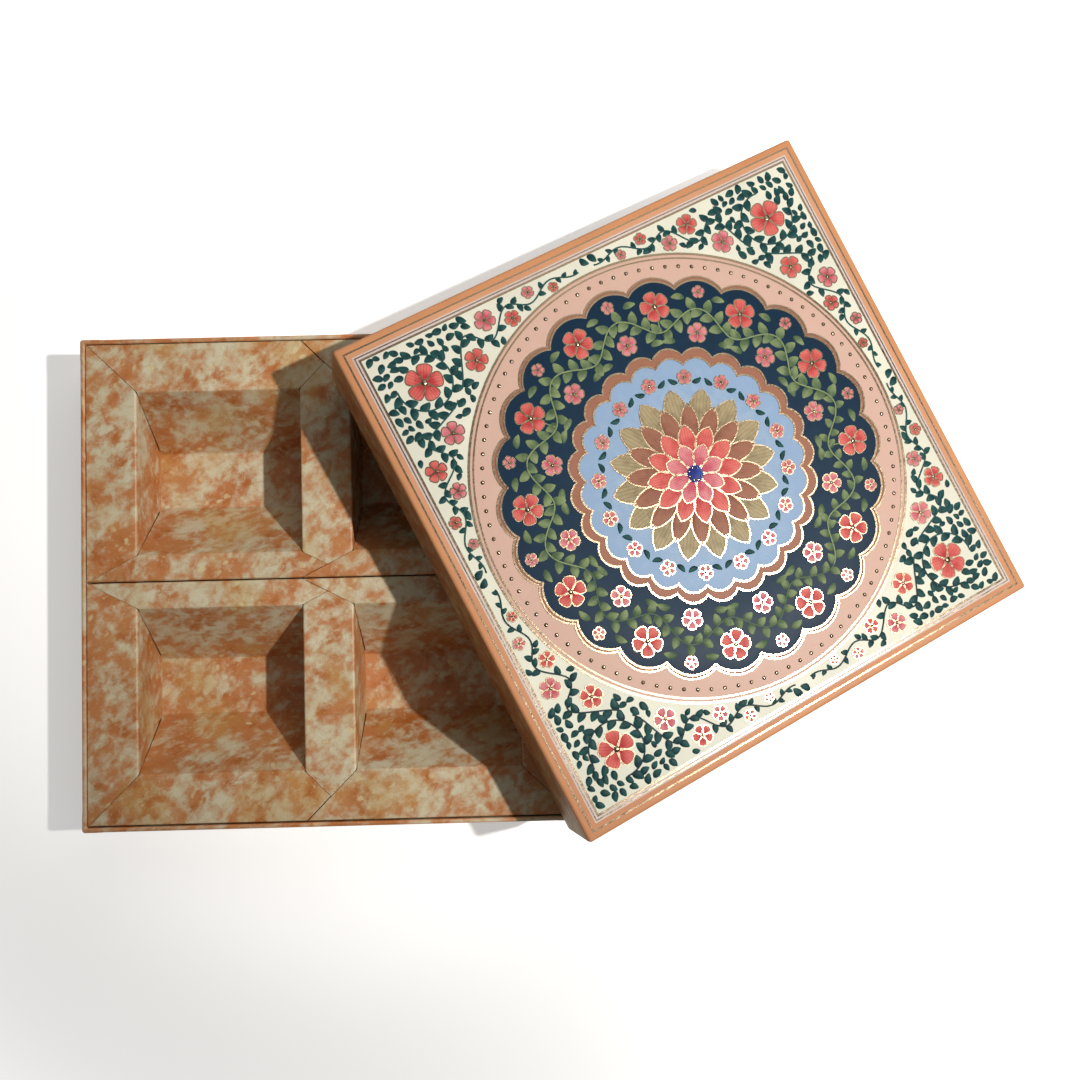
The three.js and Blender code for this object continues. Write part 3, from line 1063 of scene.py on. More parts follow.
@dataclass
class Tray:
    """The base's wrap: paper round the walls, turned over the rim and under the floor."""

    finish: Material
    paper: float = 0.3
    fold: float = 0.9
    step: float = 4.0
    rim: float = 2.1
    turn_in: float = 16.0
    turn_under: float = 15.0
    # Folds rubbed pale, partly as a painted highlight
    pull: Pull = Pull(corner=1.4, inner_corner=0.35, lap=0.16, lap_reach=9.0, bow=0.25,
                      fold_wear=0.7, corner_wear=0.8, map_start=40.0)

    def build(self) -> None:
        """Makes the wrap: its profile carried round the rounded square of the box."""
        low, high = (np.array(corner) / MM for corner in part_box("base_wrap"))
        profile = Profile.folded([
            (-self.turn_under, low[2]),
            (0.0, low[2]),
            (0.0, high[2]),
            (-self.rim, high[2]),
            (-self.rim, high[2] - self.turn_in),
        ], self.fold, self.step)
        inset, level = profile.points.T
        outer = (inset > -self.fold) & (level > low[2] + self.fold)
        rise = (level - low[2]) / (high[2] - low[2])
        loop, flat, wear = self.pull.carry(profile, (high[0] - low[0]) / 2, outer, rise)
        points = np.concatenate([loop, np.broadcast_to(level, loop.shape[:2])[..., None]], -1)
        sheets = Sheets()
        sheets.add(points, flat, wear, (True, False))
        wrap = sheets.piece("base_paper_wrap", self.finish, Body.BASE, Slot.MOTTLED, ("base_wrap",))
        thicken(wrap, self.paper)


# The insert


@dataclass
class Insert:
    """Two strips of folded card, each a sloped trough with three saddles that close its wells."""

    finish: Material
    card: float = 0.5
    fold: float = 1.1
    rim_fold: float = 0.6
    gap: float = 0.28
    slack: float = 0.5
    edge_hold: float = 0.12
    shift: tuple[float, float] = (-0.1, 0.22)
    well_side: float = 76.6
    well_pitch: float = 100.4
    seam_gap: float = 0.5
    seam_border: float = 12.2
    slope_run: float = 24.8
    slope_share: tuple[float, float] = (0.06, 0.97)
    foot_sink: float = 0.4
    tuck: float = 4.0
    sag: float = 0.35
    wall_bow: float = 0.6
    # Wear on the trough's top folds, partly a painted highlight
    trough_wear: float = 0.15
    trough_step: float = 3.0
    saddle_step: float = 2.0
    columns: int = 28
    trough_start: float = 700.0
    row_start: float = 300.0
    saddle_starts: dict[str, float] = field(
        default_factory=lambda: {"left": 860.0, "middle": 1160.0, "right": 950.0})
    half: float = field(init=False, default=0.0)
    top: float = field(init=False, default=0.0)
    floor: float = field(init=False, default=0.0)

    def __post_init__(self) -> None:
        """Reads the tray's reach and levels from the frame."""
        low, high = (np.array(corner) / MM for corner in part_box("insert_back_trough"))
        self.half = float(high[0])
        self.top = float(high[2])
        self.floor = float(low[2]) + self.card

    @property
    def seam(self) -> float:
        """Where a strip's edge stands beside the seam."""
        return self.seam_gap / 2

    @property
    def near(self) -> float:
        """Where a well starts, out from the seam."""
        return self.seam + self.seam_border

    @property
    def near_point(self) -> float:
        """Where two mitres meet beside the seam."""
        return self.near - self.seam_border / 2

    @property
    def far(self) -> float:
        """Where a well ends, out from the seam."""
        return self.near + self.well_side

    @property
    def far_point(self) -> float:
        """Where two mitres meet beyond the wells."""
        return self.far + self.inner

    @property
    def outer(self) -> float:
        """Where a well ends, out from the middle."""
        return (self.well_pitch + self.well_side) / 2

    @property
    def inner(self) -> float:
        """Where a well starts, out from the middle."""
        return (self.well_pitch - self.well_side) / 2

    def build(self) -> None:
        """Makes both strips."""
        for order, row in enumerate(Row):
            self.trough(row, order)
            for place, line, limits in self.saddles():
                self.saddle(row, order, place, line, limits)

    def sunk(self, level: Array) -> Array:
        """Share of a well's depth at given levels."""
        return np.clip((self.top - level) / (self.top - self.floor), 0, 1)

    def trough(self, row: Row, order: int) -> None:
        """Makes a strip's trough: one sheet for each well, mitred at the saddles.

        The strip's folded section gives y and z. Across it x runs straight between two edges,
        which follow the mitres on the borders and tuck behind the saddles on the slopes.

        Args:
            row: The strip.
            order: Its number, which moves its pattern.
        """
        profile = Profile.folded([
            (self.seam, self.floor),
            (self.seam, self.top),
            (self.near_point, self.top),
            (self.near, self.top),
            (self.near + self.slope_run, self.floor),
            (self.far - self.slope_run, self.floor),
            (self.far, self.top),
            (self.far_point, self.top),
            (self.half, self.top),
            (self.half, self.floor),
        ], self.fold, self.trough_step, self.rim_fold)
        y, z = profile.points.T
        edges = [self.seam, self.near_point, self.near, self.far, self.far_point, self.half]
        end = np.interp(y, [self.seam, self.near, self.far, self.half],
                        [self.half, self.outer, self.outer, self.half])
        lean = self.far_point - self.half
        left_side = np.interp(y, edges, [-self.inner, 0, -self.inner, -self.inner, 0, lean])
        right_side = np.interp(y, edges, [-self.inner, 0, self.inner, self.inner, 0, lean])
        depth = self.top - self.card - z
        tuck = np.clip(depth, 0, self.tuck) - self.gap * (depth <= 0)
        sunk = self.sunk(z)
        sloped = (sunk > self.slope_share[0]) & (sunk < self.slope_share[1])
        tuck = np.where(sloped, -self.slack * sunk, tuck)
        skirt = (y < self.seam + self.fold) | (y > self.half - self.fold)
        tuck = np.where(skirt, -self.gap, tuck)
        share = held_steps(self.columns)[:, None]
        bulge = self.sag * np.sin(np.pi * share) * np.sin(np.pi * sunk) * ~skirt
        # Top folds rubbed pale, partly as a painted highlight
        wear = self.trough_wear * profile.fold * (z > self.top - 2 * self.fold)
        sheets = Sheets()
        for low, high in ((-end, left_side), (right_side, end)):
            start = low - tuck
            x = start + share * (high + tuck - start)
            points = np.stack(np.broadcast_arrays(
                x + self.shift[0], row.value * y + self.shift[1], z - bulge), -1)
            flat = np.stack(np.broadcast_arrays(
                x + self.row_start * order, row.value * profile.along + self.trough_start), -1)
            self.face_up(sheets, points, flat, np.broadcast_to(wear, x.shape), row)
        name = row.name.lower()
        made = sheets.piece(f"insert_{name}_folded_trough", self.finish, Body.BASE, Slot.MOTTLED,
                            (f"insert_{name}_trough",))
        thicken(made, self.card)

    def face_up(self, sheets: Sheets, points: Array, flat: Array, wear: Array, row: Row) -> None:
        """Adds a grid whose columns run along y, turned over where its strip is mirrored."""
        way = slice(None, None, row.value)
        sheets.add(points[:, way], flat[:, way], wear[:, way])

    def saddles(self) -> list[tuple[str, Line, tuple[Array, Array, Array]]]:
        """The three saddles of a strip.

        Returns:
            For each its place, its folded line in x and z, and where its plate starts and ends
            in y at given places along x.
        """
        foot = self.floor - self.foot_sink * self.card
        left = [(-self.half, self.top), (-self.outer, self.top), (-self.outer, foot)]
        right = [(-x, z) for x, z in reversed(left)]
        middle = [(-self.inner, foot), (-self.inner, self.top), (0.0, self.top),
                  (self.inner, self.top), (self.inner, foot)]
        left_limits = (np.array([-self.half, -self.outer]), np.array([self.seam, self.near]),
                       np.array([self.half, self.far]))
        right_limits = (-left_limits[0][::-1], left_limits[1][::-1], left_limits[2][::-1])
        middle_limits = (np.array([-self.inner, 0.0, self.inner]),
                         np.array([self.near, self.near_point, self.near]),
                         np.array([self.far, self.far_point, self.far]))
        return [("left", left, left_limits), ("middle", middle, middle_limits),
                ("right", right, right_limits)]

    def saddle(self, row: Row, order: int, place: str, line: Line,
               limits: tuple[Array, Array, Array]) -> None:
        """Makes a saddle: a plate folded down into the upright walls of its wells.

        Its folded line gives x and z. Across it y runs straight between the plate's mitred
        edges, which on the walls close in along the trough's slopes.

        Args:
            row: The strip.
            order: The strip's number.
            place: Which saddle of the strip.
            line: Corners of its folded line in x and z.
            limits: Places along x, with the plate's start and end in y.
        """
        profile = Profile.folded(line, self.fold, self.saddle_step, end_hold=self.edge_hold)
        x, z = profile.points.T
        sunk = self.sunk(z)
        close = sunk * self.slope_run
        start = np.interp(x, limits[0], limits[1]) + close
        stop = np.interp(x, limits[0], limits[2]) - close
        share = held_steps(self.columns)
        y = start[:, None] + share * (stop - start)[:, None]
        swell = np.sin(np.pi * share) * np.sin(np.pi * sunk)[:, None]
        outward = np.where(np.abs(x) > self.well_pitch / 2, -np.sign(x), np.sign(x))
        bowed = x[:, None] - self.wall_bow * self.sag * outward[:, None] * swell
        points = np.stack(np.broadcast_arrays(
            bowed + self.shift[0], row.value * y + self.shift[1], z[:, None]), -1)
        across = profile.along + self.saddle_starts[place] + self.row_start * order
        flat = np.stack(np.broadcast_arrays(across[:, None], row.value * y), -1)
        sheets = Sheets()
        # Folds carry wear and a painted highlight
        self.face_up(sheets, points, flat, np.broadcast_to(profile.fold[:, None], y.shape), row)
        name = row.name.lower()
        made = sheets.piece(f"insert_{name}_folded_saddle_{place}", self.finish, Body.BASE,
                            Slot.MOTTLED, (f"insert_{name}_saddle_{place}",))
        thicken(made, self.card)


# The lid


@dataclass(frozen=True)
class LidPlane:
    """The lid's own axes: u and v along its sides from the middle, w up from its top face."""

    origin: Array
    axes: Array
    half: float
    depth: float
    flat_border: float = 12.0
    crown: float = 0.3

    @classmethod
    def read(cls, nodes: dict[str, Piece]) -> "LidPlane":
        """Finds the axes in the frame.

        The top board's thinnest direction is the normal. The corner nearest the viewer, the
        one furthest right and the one furthest left give the two sides. The wrap's reach along
        these axes gives the lid's size.

        Args:
            nodes: The frame's CAD nodes.

        Returns:
            The lid's plane.
        """
        board = points_of(nodes["lid_top_board"])
        centre = (board.max(0) + board.min(0)) / 2
        normal = np.linalg.svd(np.unique(board.round(3), axis=0) - centre)[2][2]
        normal = normal * np.sign(normal[2])
        upper = board[(board - centre) @ normal > 0]
        front = upper[upper[:, 1].argmin()]
        u = upper[upper[:, 0].argmax()] - front
        v = upper[upper[:, 0].argmin()] - front
        axes = np.stack([u / np.linalg.norm(u), v / np.linalg.norm(v), normal])
        wrap = (points_of(nodes["lid_wrap"]) - centre) @ axes.T
        low, high = wrap.min(0), wrap.max(0)
        middle = np.array([(low[0] + high[0]) / 2, (low[1] + high[1]) / 2, high[2]])
        return cls(centre + middle @ axes, axes, float(high[0] - low[0]) / 2, float(high[2] - low[2]))

    def rise(self, u: Array, v: Array) -> Array:
        """Height of the top's slight crown: a product of two parabolas, none on the border."""
        reach = self.half - self.flat_border
        return self.crown * np.clip(1 - (u / reach) ** 2, 0, 1) * np.clip(1 - (v / reach) ** 2, 0, 1)

    def world(self, u: Array, v: Array, w: Array | float) -> Array:
        """Places in millimetres of points in the lid's own axes."""
        spots = np.stack(np.broadcast_arrays(u, v, w), -1)
        return self.origin + spots @ self.axes

    def on_top(self, spots: Array, lift: Array | float) -> Array:
        """Places of points, shaped (..., 2), lifted off the crowned top."""
        u, v = spots[..., 0], spots[..., 1]
        return self.world(u, v, self.rise(u, v) + lift)


@dataclass
class LidShell:
    """The lid's wrap: top panel, soft folds, walls and the turn-in at the open rim."""

    plane: LidPlane
    finish: Material
    paper: float = 0.3
    fold: float = 1.5
    rim_fold: float = 0.9
    wall: float = 2.9
    turn_in: float = 28.0
    rim_step: float = 4.0
    top_step: float = 3.0
    top_start: float = 2000.0
    # Folds rubbed pale, partly as a painted highlight
    pull: Pull = Pull(corner=1.5, inner_corner=0.4, lap=0.14, lap_reach=8.0, bow=0.3,
                      fold_wear=0.5, corner_wear=0.9, square_from=LidPlane.flat_border)

    def build(self) -> None:
        """Makes the wrap: a profile carried round the lid, and a crowned panel inside its last ring."""
        plane = self.plane
        rim = Profile.folded([
            (-self.wall, self.turn_in - plane.depth),
            (-self.wall, -plane.depth),
            (0.0, -plane.depth),
            (0.0, -plane.depth / 2),
        ], self.rim_fold, self.rim_step)
        top = Profile.folded([
            (0.0, -plane.depth / 2),
            (0.0, 0.0),
            (-plane.flat_border, 0.0),
        ], self.fold, self.top_step)
        profile = rim.then(top)
        inset, level = profile.points.T
        outer = (inset > -self.fold) & (level < -self.fold)
        loop, flat, wear = self.pull.carry(profile, plane.half, outer, -level / plane.depth)
        sheets = Sheets()
        sheets.add(plane.world(loop[..., 0], loop[..., 1], level), flat, wear, (True, False))
        panel = square_grid(plane.half - plane.flat_border, self.pull.side_steps)
        sheets.add(plane.on_top(panel, 0.0), panel + (self.top_start, 0.0))
        wrap = sheets.piece("lid_paper_wrap", self.finish, Body.LID, Slot.LID, ("lid_wrap",))
        thicken(wrap, self.paper)


# The lid's print


def polar(reach: Array | float, angles: Array) -> Array:
    """Points at a reach and angles about the middle."""
    return np.asarray(reach)[..., None] * np.stack([np.cos(angles), np.sin(angles)], -1)


def around(count: int, phase: float = 0.0) -> Array:
    """Even angles round a circle, moved on by a share of a step."""
    return (np.arange(count) + phase) * 2 * np.pi / count


def turn(spots: Array, angle: float) -> Array:
    """Points turned about the middle."""
    cos, sin = math.cos(angle), math.sin(angle)
    return spots @ np.array([[cos, sin], [-sin, cos]])


def apart(spots: Array, others: Array) -> Array:
    """Distance of each point from each of the others."""
    return np.linalg.norm(spots[:, None] - others[None], axis=-1)


class Tint(Enum):
    """The print's inks, each with a root tone, a tip tone and the strength of its veins."""

    FRAME = ("frame", (189, 133, 98), (192, 139, 105), 0.0)
    PALE_EDGE = ("pale_edge", (200, 189, 187), (194, 181, 179), 0.0)
    CREAM = ("cream", (210, 209, 193), (207, 205, 189), 0.0)
    PEACH = ("peach", (198, 170, 157), (193, 160, 145), 0.0)
    NIGHT = ("night", (15, 45, 68), (11, 38, 59), 0.0)
    CLAY = ("clay", (118, 74, 57), (146, 98, 78), 0.2)
    SKY = ("sky", (152, 170, 189), (130, 154, 183), 0.0)
    LEAF = ("leaf", (17, 48, 52), (35, 78, 76), 0.25)
    MOSS = ("moss", (65, 85, 61), (124, 139, 96), 0.25)
    CORAL = ("coral", (168, 48, 52), (204, 104, 96), 0.35)
    ROSE = ("rose", (176, 65, 85), (205, 130, 133), 0.35)
    SAND = ("sand", (107, 92, 67), (159, 144, 111), 0.3)
    BLUE = ("blue", (26, 41, 118), (48, 85, 163), 0.3)

    @property
    def ink(self) -> Ink:
        """The ink of this tint."""
        return Ink(*self.value)


class Lift(float, Enum):
    """Heights of the print's grounds above the lid's top, in millimetres."""

    FIELD = 0.05
    BAND = 0.12
    TRIM = 0.14
    SHADE = 0.2
    RING = 0.27
    LIP = 0.38
    MIDDLE = 0.46


class Band(NamedTuple):
    """A band of the border: its ink, foil where none, its distances from the edge and its lift."""

    tint: Tint | None
    start: float
    end: float
    lift: Lift


class Step(NamedTuple):
    """A plate of the medallion: reach of its lobes, depth of their cusps, hole, lift and rim line."""

    tint: Tint
    reach: float
    cusp: float
    hole: float
    lift: Lift
    line: float


class PetalRing(NamedTuple):
    """A ring of the rosette: count, phase, and where its petals start, their length, ratio and lift."""

    tint: Tint
    count: int
    phase: float
    start: float
    length: float
    ratio: float
    lift: float


BORDER = (
    Band(None, 3.3, 4.0, Lift.BAND),
    Band(Tint.FRAME, 4.0, 6.2, Lift.FIELD),
    Band(Tint.PALE_EDGE, 6.2, 6.8, Lift.FIELD),
    Band(None, 6.8, 7.4, Lift.BAND),
    Band(Tint.PALE_EDGE, 7.4, 8.2, Lift.FIELD),
    Band(None, 8.2, 9.2, Lift.TRIM),
)
MEDALLION_REACH = 101.0
MEDALLION = (
    Step(Tint.PEACH, MEDALLION_REACH, 0.0, 77.0, Lift.BAND, 1.0),
    Step(Tint.CLAY, 90.7, 4.6, 79.0, Lift.SHADE, 0.7),
    Step(Tint.NIGHT, 89.0, 4.6, 45.0, Lift.RING, 0.8),
    Step(Tint.CLAY, 57.5, 3.68, 44.0, Lift.LIP, 0.8),
    Step(Tint.SKY, 53.0, 3.45, 3.0, Lift.MIDDLE, 0.8),
)
ROSETTE = (
    PetalRing(Tint.SAND, 16, 0.5, 13.0, 26.0, 0.215, 0.02),
    PetalRing(Tint.CLAY, 16, 0.0, 9.0, 23.0, 0.18, 0.14),
    PetalRing(Tint.CORAL, 12, 0.5, 5.5, 17.0, 0.24, 0.3),
    PetalRing(Tint.ROSE, 8, 0.0, 2.5, 11.5, 0.31, 0.5),
)
# A raised strip's four faces: where each starts and ends across it, and which of its edges are up
RAISED_STRIP = (
    ((-0.5, 0.5), (1, 1)),
    ((-0.5, -0.5), (0, 1)),
    ((0.5, 0.5), (1, 0)),
    ((0.5, -0.5), (0, 0)),
)
# Least width of a motif's ends, and the leaves' length, ratio and bend
BLUNT = 0.01
LEAF_LENGTH = 6.3
LEAF_RATIO = 0.34
LEAF_BEND = 0.1


@dataclass(frozen=True)
class Motif:
    """A small raised shape on a grid: length along it, half width across it, and lift, in shares."""

    along: Array
    across: Array
    lift: Array

    @classmethod
    def leaf(cls) -> "Motif":
        """A blade: half width is the sine of its length, eased, with two ridges beside a sunk rib.

        Returns:
            The motif.
        """
        length = np.linspace(0, 1, 8)[:, None]
        side = np.array([-1.0, -0.6, 0.0, 0.6, 1.0])
        width = np.maximum(np.sin(np.pi * length ** 0.85), BLUNT) ** 0.8
        ridge = np.array([-0.3, 0.9, 0.6, 0.9, -0.3])
        lift = np.where(np.abs(side) < 1, ridge * np.maximum(np.sin(np.pi * length), 0) ** 0.5, ridge)
        lift[[0, -1]] = lift.min()
        return cls(length + 0 * side, side * width, lift)

    @classmethod
    def petal(cls) -> "Motif":
        """A broad petal: narrow root, round tip with a shallow notch, cupped across.

        Returns:
            The motif.
        """
        length = 1 - (1 - np.linspace(0, 1, 10)[:, None]) ** 1.8
        side = np.array([-1.0, -0.85, -0.45, 0.0, 0.45, 0.85, 1.0])
        width = (0.22 + 0.78 * length ** 0.8) * np.sqrt(np.clip(1 - length ** 5, 0, 1))
        notch = 1 - 0.1 * (1 - np.abs(side)) ** 2 * length ** 6
        cup = np.where(np.abs(side) < 1, 0.55 + 0.45 * side ** 2, -0.3)
        lift = np.where(np.abs(side) < 1, cup * np.sin(np.pi * (0.08 + 0.86 * length)) ** 0.4, cup)
        lift[0] = lift.min()
        return cls(length * notch, side * width, lift)

    @classmethod
    def lotus(cls) -> "Motif":
        """A pointed petal: half width is an eased sine of its length, cupped, with a raised keel.

        Returns:
            The motif.
        """
        length = np.linspace(0, 1, 12)[:, None]
        side = np.array([-1.0, -0.88, -0.5, 0.0, 0.5, 0.88, 1.0])
        width = np.maximum(np.sin(np.pi * length ** 1.25), BLUNT) ** 0.72
        cup = np.array([-0.3, 0.75, 0.5, 0.95, 0.5, 0.75, -0.3])
        lift = np.where(np.abs(side) < 1, cup * np.sin(np.pi * (0.1 + 0.8 * length)) ** 0.4, cup)
        lift[[0, -1]] = lift.min()
        return cls(length + 0 * side, side * width, lift)

    @classmethod
    def pearl(cls) -> "Motif":
        """A round dome: a square bent to a disc, lifted as half a ball.

        Returns:
            The motif.
        """
        line = np.linspace(-1, 1, 6)
        across, along = np.meshgrid(line, line)
        x = along * np.sqrt(1 - across ** 2 / 2)
        y = across * np.sqrt(1 - along ** 2 / 2)
        lift = np.sqrt(np.clip(1 - x ** 2 - y ** 2, 0, 1)) - 0.15
        return cls(x, y, lift)

    def edge(self) -> tuple[Array, Array]:
        """Runs along the outline, up one side to the tip and down the other.

        Returns:
            Lengths along the motif and half widths across it.
        """
        along = np.concatenate([self.along[:, 0], self.along[-2::-1, -1]])
        across = np.concatenate([self.across[:, 0], self.across[-2::-1, -1]])
        return along, across


@dataclass
class Stamps:
    """Places for copies of a motif: spot, heading, length, width and bend of each."""

    spots: Array
    heads: Array
    lengths: Array
    widths: Array
    bends: Array

    @classmethod
    def at(cls, spots: Array, heads: Array | float, lengths: Array | float, ratio: float = 1.0,
           bends: Array | float = 0.0) -> "Stamps":
        """Places with a width in one ratio to the length.

        Args:
            spots: Points where the copies start.
            heads: Their headings.
            lengths: Their lengths.
            ratio: Width to length.
            bends: How far each bows aside, to its length.

        Returns:
            The places.
        """
        heads, lengths, bends = (
            np.broadcast_to(value, len(spots)).astype(float) for value in (heads, lengths, bends))
        return cls(np.asarray(spots, float), heads, lengths, lengths * ratio, bends)

    @classmethod
    def along(cls, path: Array, spacing: float, length: float, spread: float, taper: float) -> "Stamps":
        """Places leaves along a stem, left and right in turn.

        Args:
            path: The stem's points.
            spacing: Distance between leaves.
            length: Their length.
            spread: Angle that they make with the stem.
            taper: Share of that length that is left at the stem's end.

        Returns:
            The places.
        """
        run = run_along(path)
        marks = np.arange(spacing / 2, run[-1], spacing)
        spots = np.stack([np.interp(marks, run, path[:, axis]) for axis in (0, 1)], -1)
        slope = np.gradient(path, axis=0)
        heading = np.unwrap(np.arctan2(slope[:, 1], slope[:, 0]))
        side = np.where(np.arange(len(marks)) % 2, 1.0, -1.0)
        heads = np.interp(marks, run, heading) + side * spread
        fade = 1 - (1 - taper) * marks / run[-1]
        return cls.at(spots, heads, length * fade, LEAF_RATIO, -LEAF_BEND * side)

    @classmethod
    def joined(cls, sets: list["Stamps"]) -> "Stamps":
        """Several sets of places as one."""
        return cls(*map(np.concatenate, zip(*(vars(each).values() for each in sets))))

    def kept(self, chosen: Array) -> "Stamps":
        """The chosen places."""
        return Stamps(*(values[chosen] for values in vars(self).values()))

    def reach(self, share: float) -> Array:
        """Points at a share of each copy's length."""
        return self.spots + polar(share * self.lengths, self.heads)

    def moved(self, shift: float) -> "Stamps":
        """The same places moved alike along both axes."""
        return replace(self, spots=self.spots + shift)

    def turned(self, angle: float) -> "Stamps":
        """The same places turned about the middle."""
        return replace(self, spots=turn(self.spots, angle), heads=self.heads + angle)

    def lay(self, along: Array, across: Array) -> Array:
        """Carries a motif's points to every place: bent by half a sine, scaled, turned and moved.

        Args:
            along: Lengths along the motif.
            across: Half widths across it.

        Returns:
            Places shaped (copies, *motif, 2).
        """
        fit = (-1,) + (1,) * along.ndim
        lengths, widths, bends, heads = (
            values.reshape(fit) for values in (self.lengths, self.widths, self.bends, self.heads))
        x = along * lengths
        y = across * widths + bends * lengths * np.sin(np.pi * np.clip(along, 0, 1))
        cos, sin = np.cos(heads), np.sin(heads)
        return np.stack([x * cos - y * sin, x * sin + y * cos], -1) + self.spots.reshape(*fit, 2)


@dataclass
class Press:
    """Lays raised print on the lid's top and gathers it by ink; where no ink is named it is foil."""

    plane: LidPlane
    field_inset: float = 9.15
    line_lift: float = 0.2
    sunk: float = -0.05
    plate_depth: float = 0.14
    plate_rings: int = 9
    band_steps: int = 24
    lines: Sheets = field(init=False, default_factory=Sheets)
    inks: dict[Tint, Sheets] = field(init=False, default_factory=dict)

    @property
    def field_half(self) -> float:
        """Half the side of the field inside the border."""
        return self.plane.half - self.field_inset

    def sheets(self, tint: Tint | None) -> Sheets:
        """The gathered grids of an ink, or of the foil."""
        return self.lines if tint is None else self.inks.setdefault(tint, Sheets())

    def stamp(self, tint: Tint | None, motif: Motif, stamps: Stamps, ground: float,
              height: float) -> None:
        """Lays copies of a motif, each closed by a flat back.

        Args:
            tint: Their ink.
            motif: The shape.
            stamps: Where the copies lie.
            ground: Lift of the ground below them.
            height: Their own height.
        """
        spots = stamps.lay(motif.along, motif.across)
        flat = np.broadcast_to(np.stack([motif.across, motif.along], -1), spots.shape)
        back = np.full_like(motif.lift, motif.lift.min())
        for lift, way in ((motif.lift, 1), (back, -1)):
            points = self.plane.on_top(spots, ground + lift * height)
            self.sheets(tint).add(points[..., ::way, :, :], flat[..., ::way, :, :])

    def ribbon(self, paths: Array, width: float, ground: float, ring: bool = False,
               tint: Tint | None = None) -> None:
        """Lays raised lines along paths: a flat strip, a side down at each edge, a back and end caps.

        Args:
            paths: Points shaped (paths, points, 2).
            width: Width of the lines.
            ground: Lift of the ground below them.
            ring: Whether the paths close.
            tint: Their ink.
        """
        if ring:
            run = np.roll(paths, -1, axis=-2) - np.roll(paths, 1, axis=-2)
        else:
            run = np.gradient(paths, axis=-2)
        run = run / np.maximum(np.linalg.norm(run, axis=-1, keepdims=True), TINY)
        side = np.stack([-run[..., 1], run[..., 0]], -1) * width
        sheets = self.sheets(tint)
        for places, lifts in RAISED_STRIP:
            spots = paths[..., None, :] + side[..., None, :] * np.array(places)[:, None]
            lift = ground + np.where(np.array(lifts) > 0, self.line_lift, self.sunk)
            sheets.add(self.plane.on_top(spots, lift), ring=(ring, False))
        if ring:
            return
        for end, lifts in ((0, (self.sunk, self.line_lift)), (-1, (self.line_lift, self.sunk))):
            rim = paths[:, end, None, :] + side[:, end, None, :] * np.array([[-0.5], [0.5]])
            sheets.add(self.plane.on_top(np.stack([rim, rim], 1), ground + np.array(lifts)[:, None]))

    def square_band(self, band: Band) -> None:
        """Lays a square band with mitred corners between two distances from the lid's edge.

        Args:
            band: Its ink, distances and lift.
        """
        for places, lifts in RAISED_STRIP:
            inset = band.start + (np.array(places) + 0.5) * (band.end - band.start)
            loop, _ = square_loop(self.plane.half - inset, np.full(2, SHARP), 1, self.band_steps)
            lift = np.where(np.array(lifts) > 0, band.lift, self.sunk)
            self.sheets(band.tint).add(self.plane.on_top(loop, lift), ring=(True, False))

    def plate(self, tint: Tint, spots: Array, lift: float, flat: Array | None = None,
              ring: bool = False) -> None:
        """Lays a closed plate: a face, the same turned over below it, and walls between their edges.

        Args:
            tint: Its ink.
            spots: Grid of its points, shaped (rows, columns, 2).
            lift: Lift of its face.
            flat: Map places of the grid; x and y where left out.
            ring: Whether the columns close on themselves.
        """
        face = self.plane.on_top(spots, lift)
        back = self.plane.on_top(spots, lift - self.plate_depth)
        flat = face[..., :2] if flat is None else flat
        sheets = self.sheets(tint)
        sheets.add(face, flat, ring=(False, ring))
        sheets.add(back[::-1], flat[::-1], ring=(False, ring))
        for row, upper, lower in ((-1, face, back), (0, back, face)):
            edge = np.stack([upper[row], lower[row]])
            sheets.add(edge, np.stack([flat[row]] * 2), ring=(False, ring))
            if not ring:
                edge = np.stack([upper[:, row], lower[:, row]], 1)
                sheets.add(edge, np.stack([flat[:, row]] * 2, 1))

    def disc(self, tint: Tint, rim: Array, hole: float, lift: float) -> None:
        """Lays a flat plate whose radius runs straight from a round hole out to a rim.

        Args:
            tint: Its ink.
            rim: The rim's points about the middle.
            hole: Radius of the hole.
            lift: Lift of its face.
        """
        reach = np.linalg.norm(rim, axis=-1)
        radius = hole + np.linspace(0, 1, self.plate_rings)[:, None] * (reach - hole)
        spots = radius[..., None] * (rim / reach[:, None])
        self.plate(tint, spots, lift, np.stack([radius * 0, radius / reach], -1), True)

    def pieces(self, foil: Material) -> None:
        """Makes a piece for each ink and one for the foil.

        Args:
            foil: The foil's material.
        """
        for tint, sheets in self.inks.items():
            sheets.piece(f"lid_print_{tint.value[0]}", tint.ink.material(), Body.LID, Slot.LID)
        self.lines.piece("lid_foil_lines", foil, Body.LID, Slot.LID)


@dataclass(frozen=True)
class Flower:
    """An open flower, in shares of its radius: petals with foil outlines round a foil heart."""

    press: Press
    petals: int = 5
    root: float = 0.1
    length: float = 0.9
    width: float = 1.05
    overlap: float = 0.02
    height: float = 0.22
    outline: float = 0.46
    outline_lift: float = 0.02
    heart: float = 0.17
    heart_lift: float = 0.12
    heart_height: float = 0.4

    def lay(self, tint: Tint, spots: Array, heads: Array, size: Array | float, ground: float) -> None:
        """Lays flowers.

        Args:
            tint: Ink of the petals.
            spots: Middles of the flowers.
            heads: Heading of each flower's first petal.
            size: Radius of the flowers.
            ground: Lift of the ground below them.
        """
        motif = Motif.petal()
        size = np.broadcast_to(size, len(spots))
        ratio = self.width * math.sin(math.pi / self.petals)
        for index in range(self.petals):
            head = heads + 2 * np.pi * index / self.petals
            stamps = Stamps.at(spots + polar(size * self.root, head), head, size * self.length, ratio)
            level = ground + self.overlap * (index % 2)
            self.press.stamp(tint, motif, stamps, level, self.height)
            self.press.ribbon(stamps.lay(*motif.edge()), self.outline, level + self.outline_lift)
        hearts = Stamps.at(spots, 0.0, size * self.heart)
        self.press.stamp(None, Motif.pearl(), hearts, ground + self.heart_lift, self.heart_height)


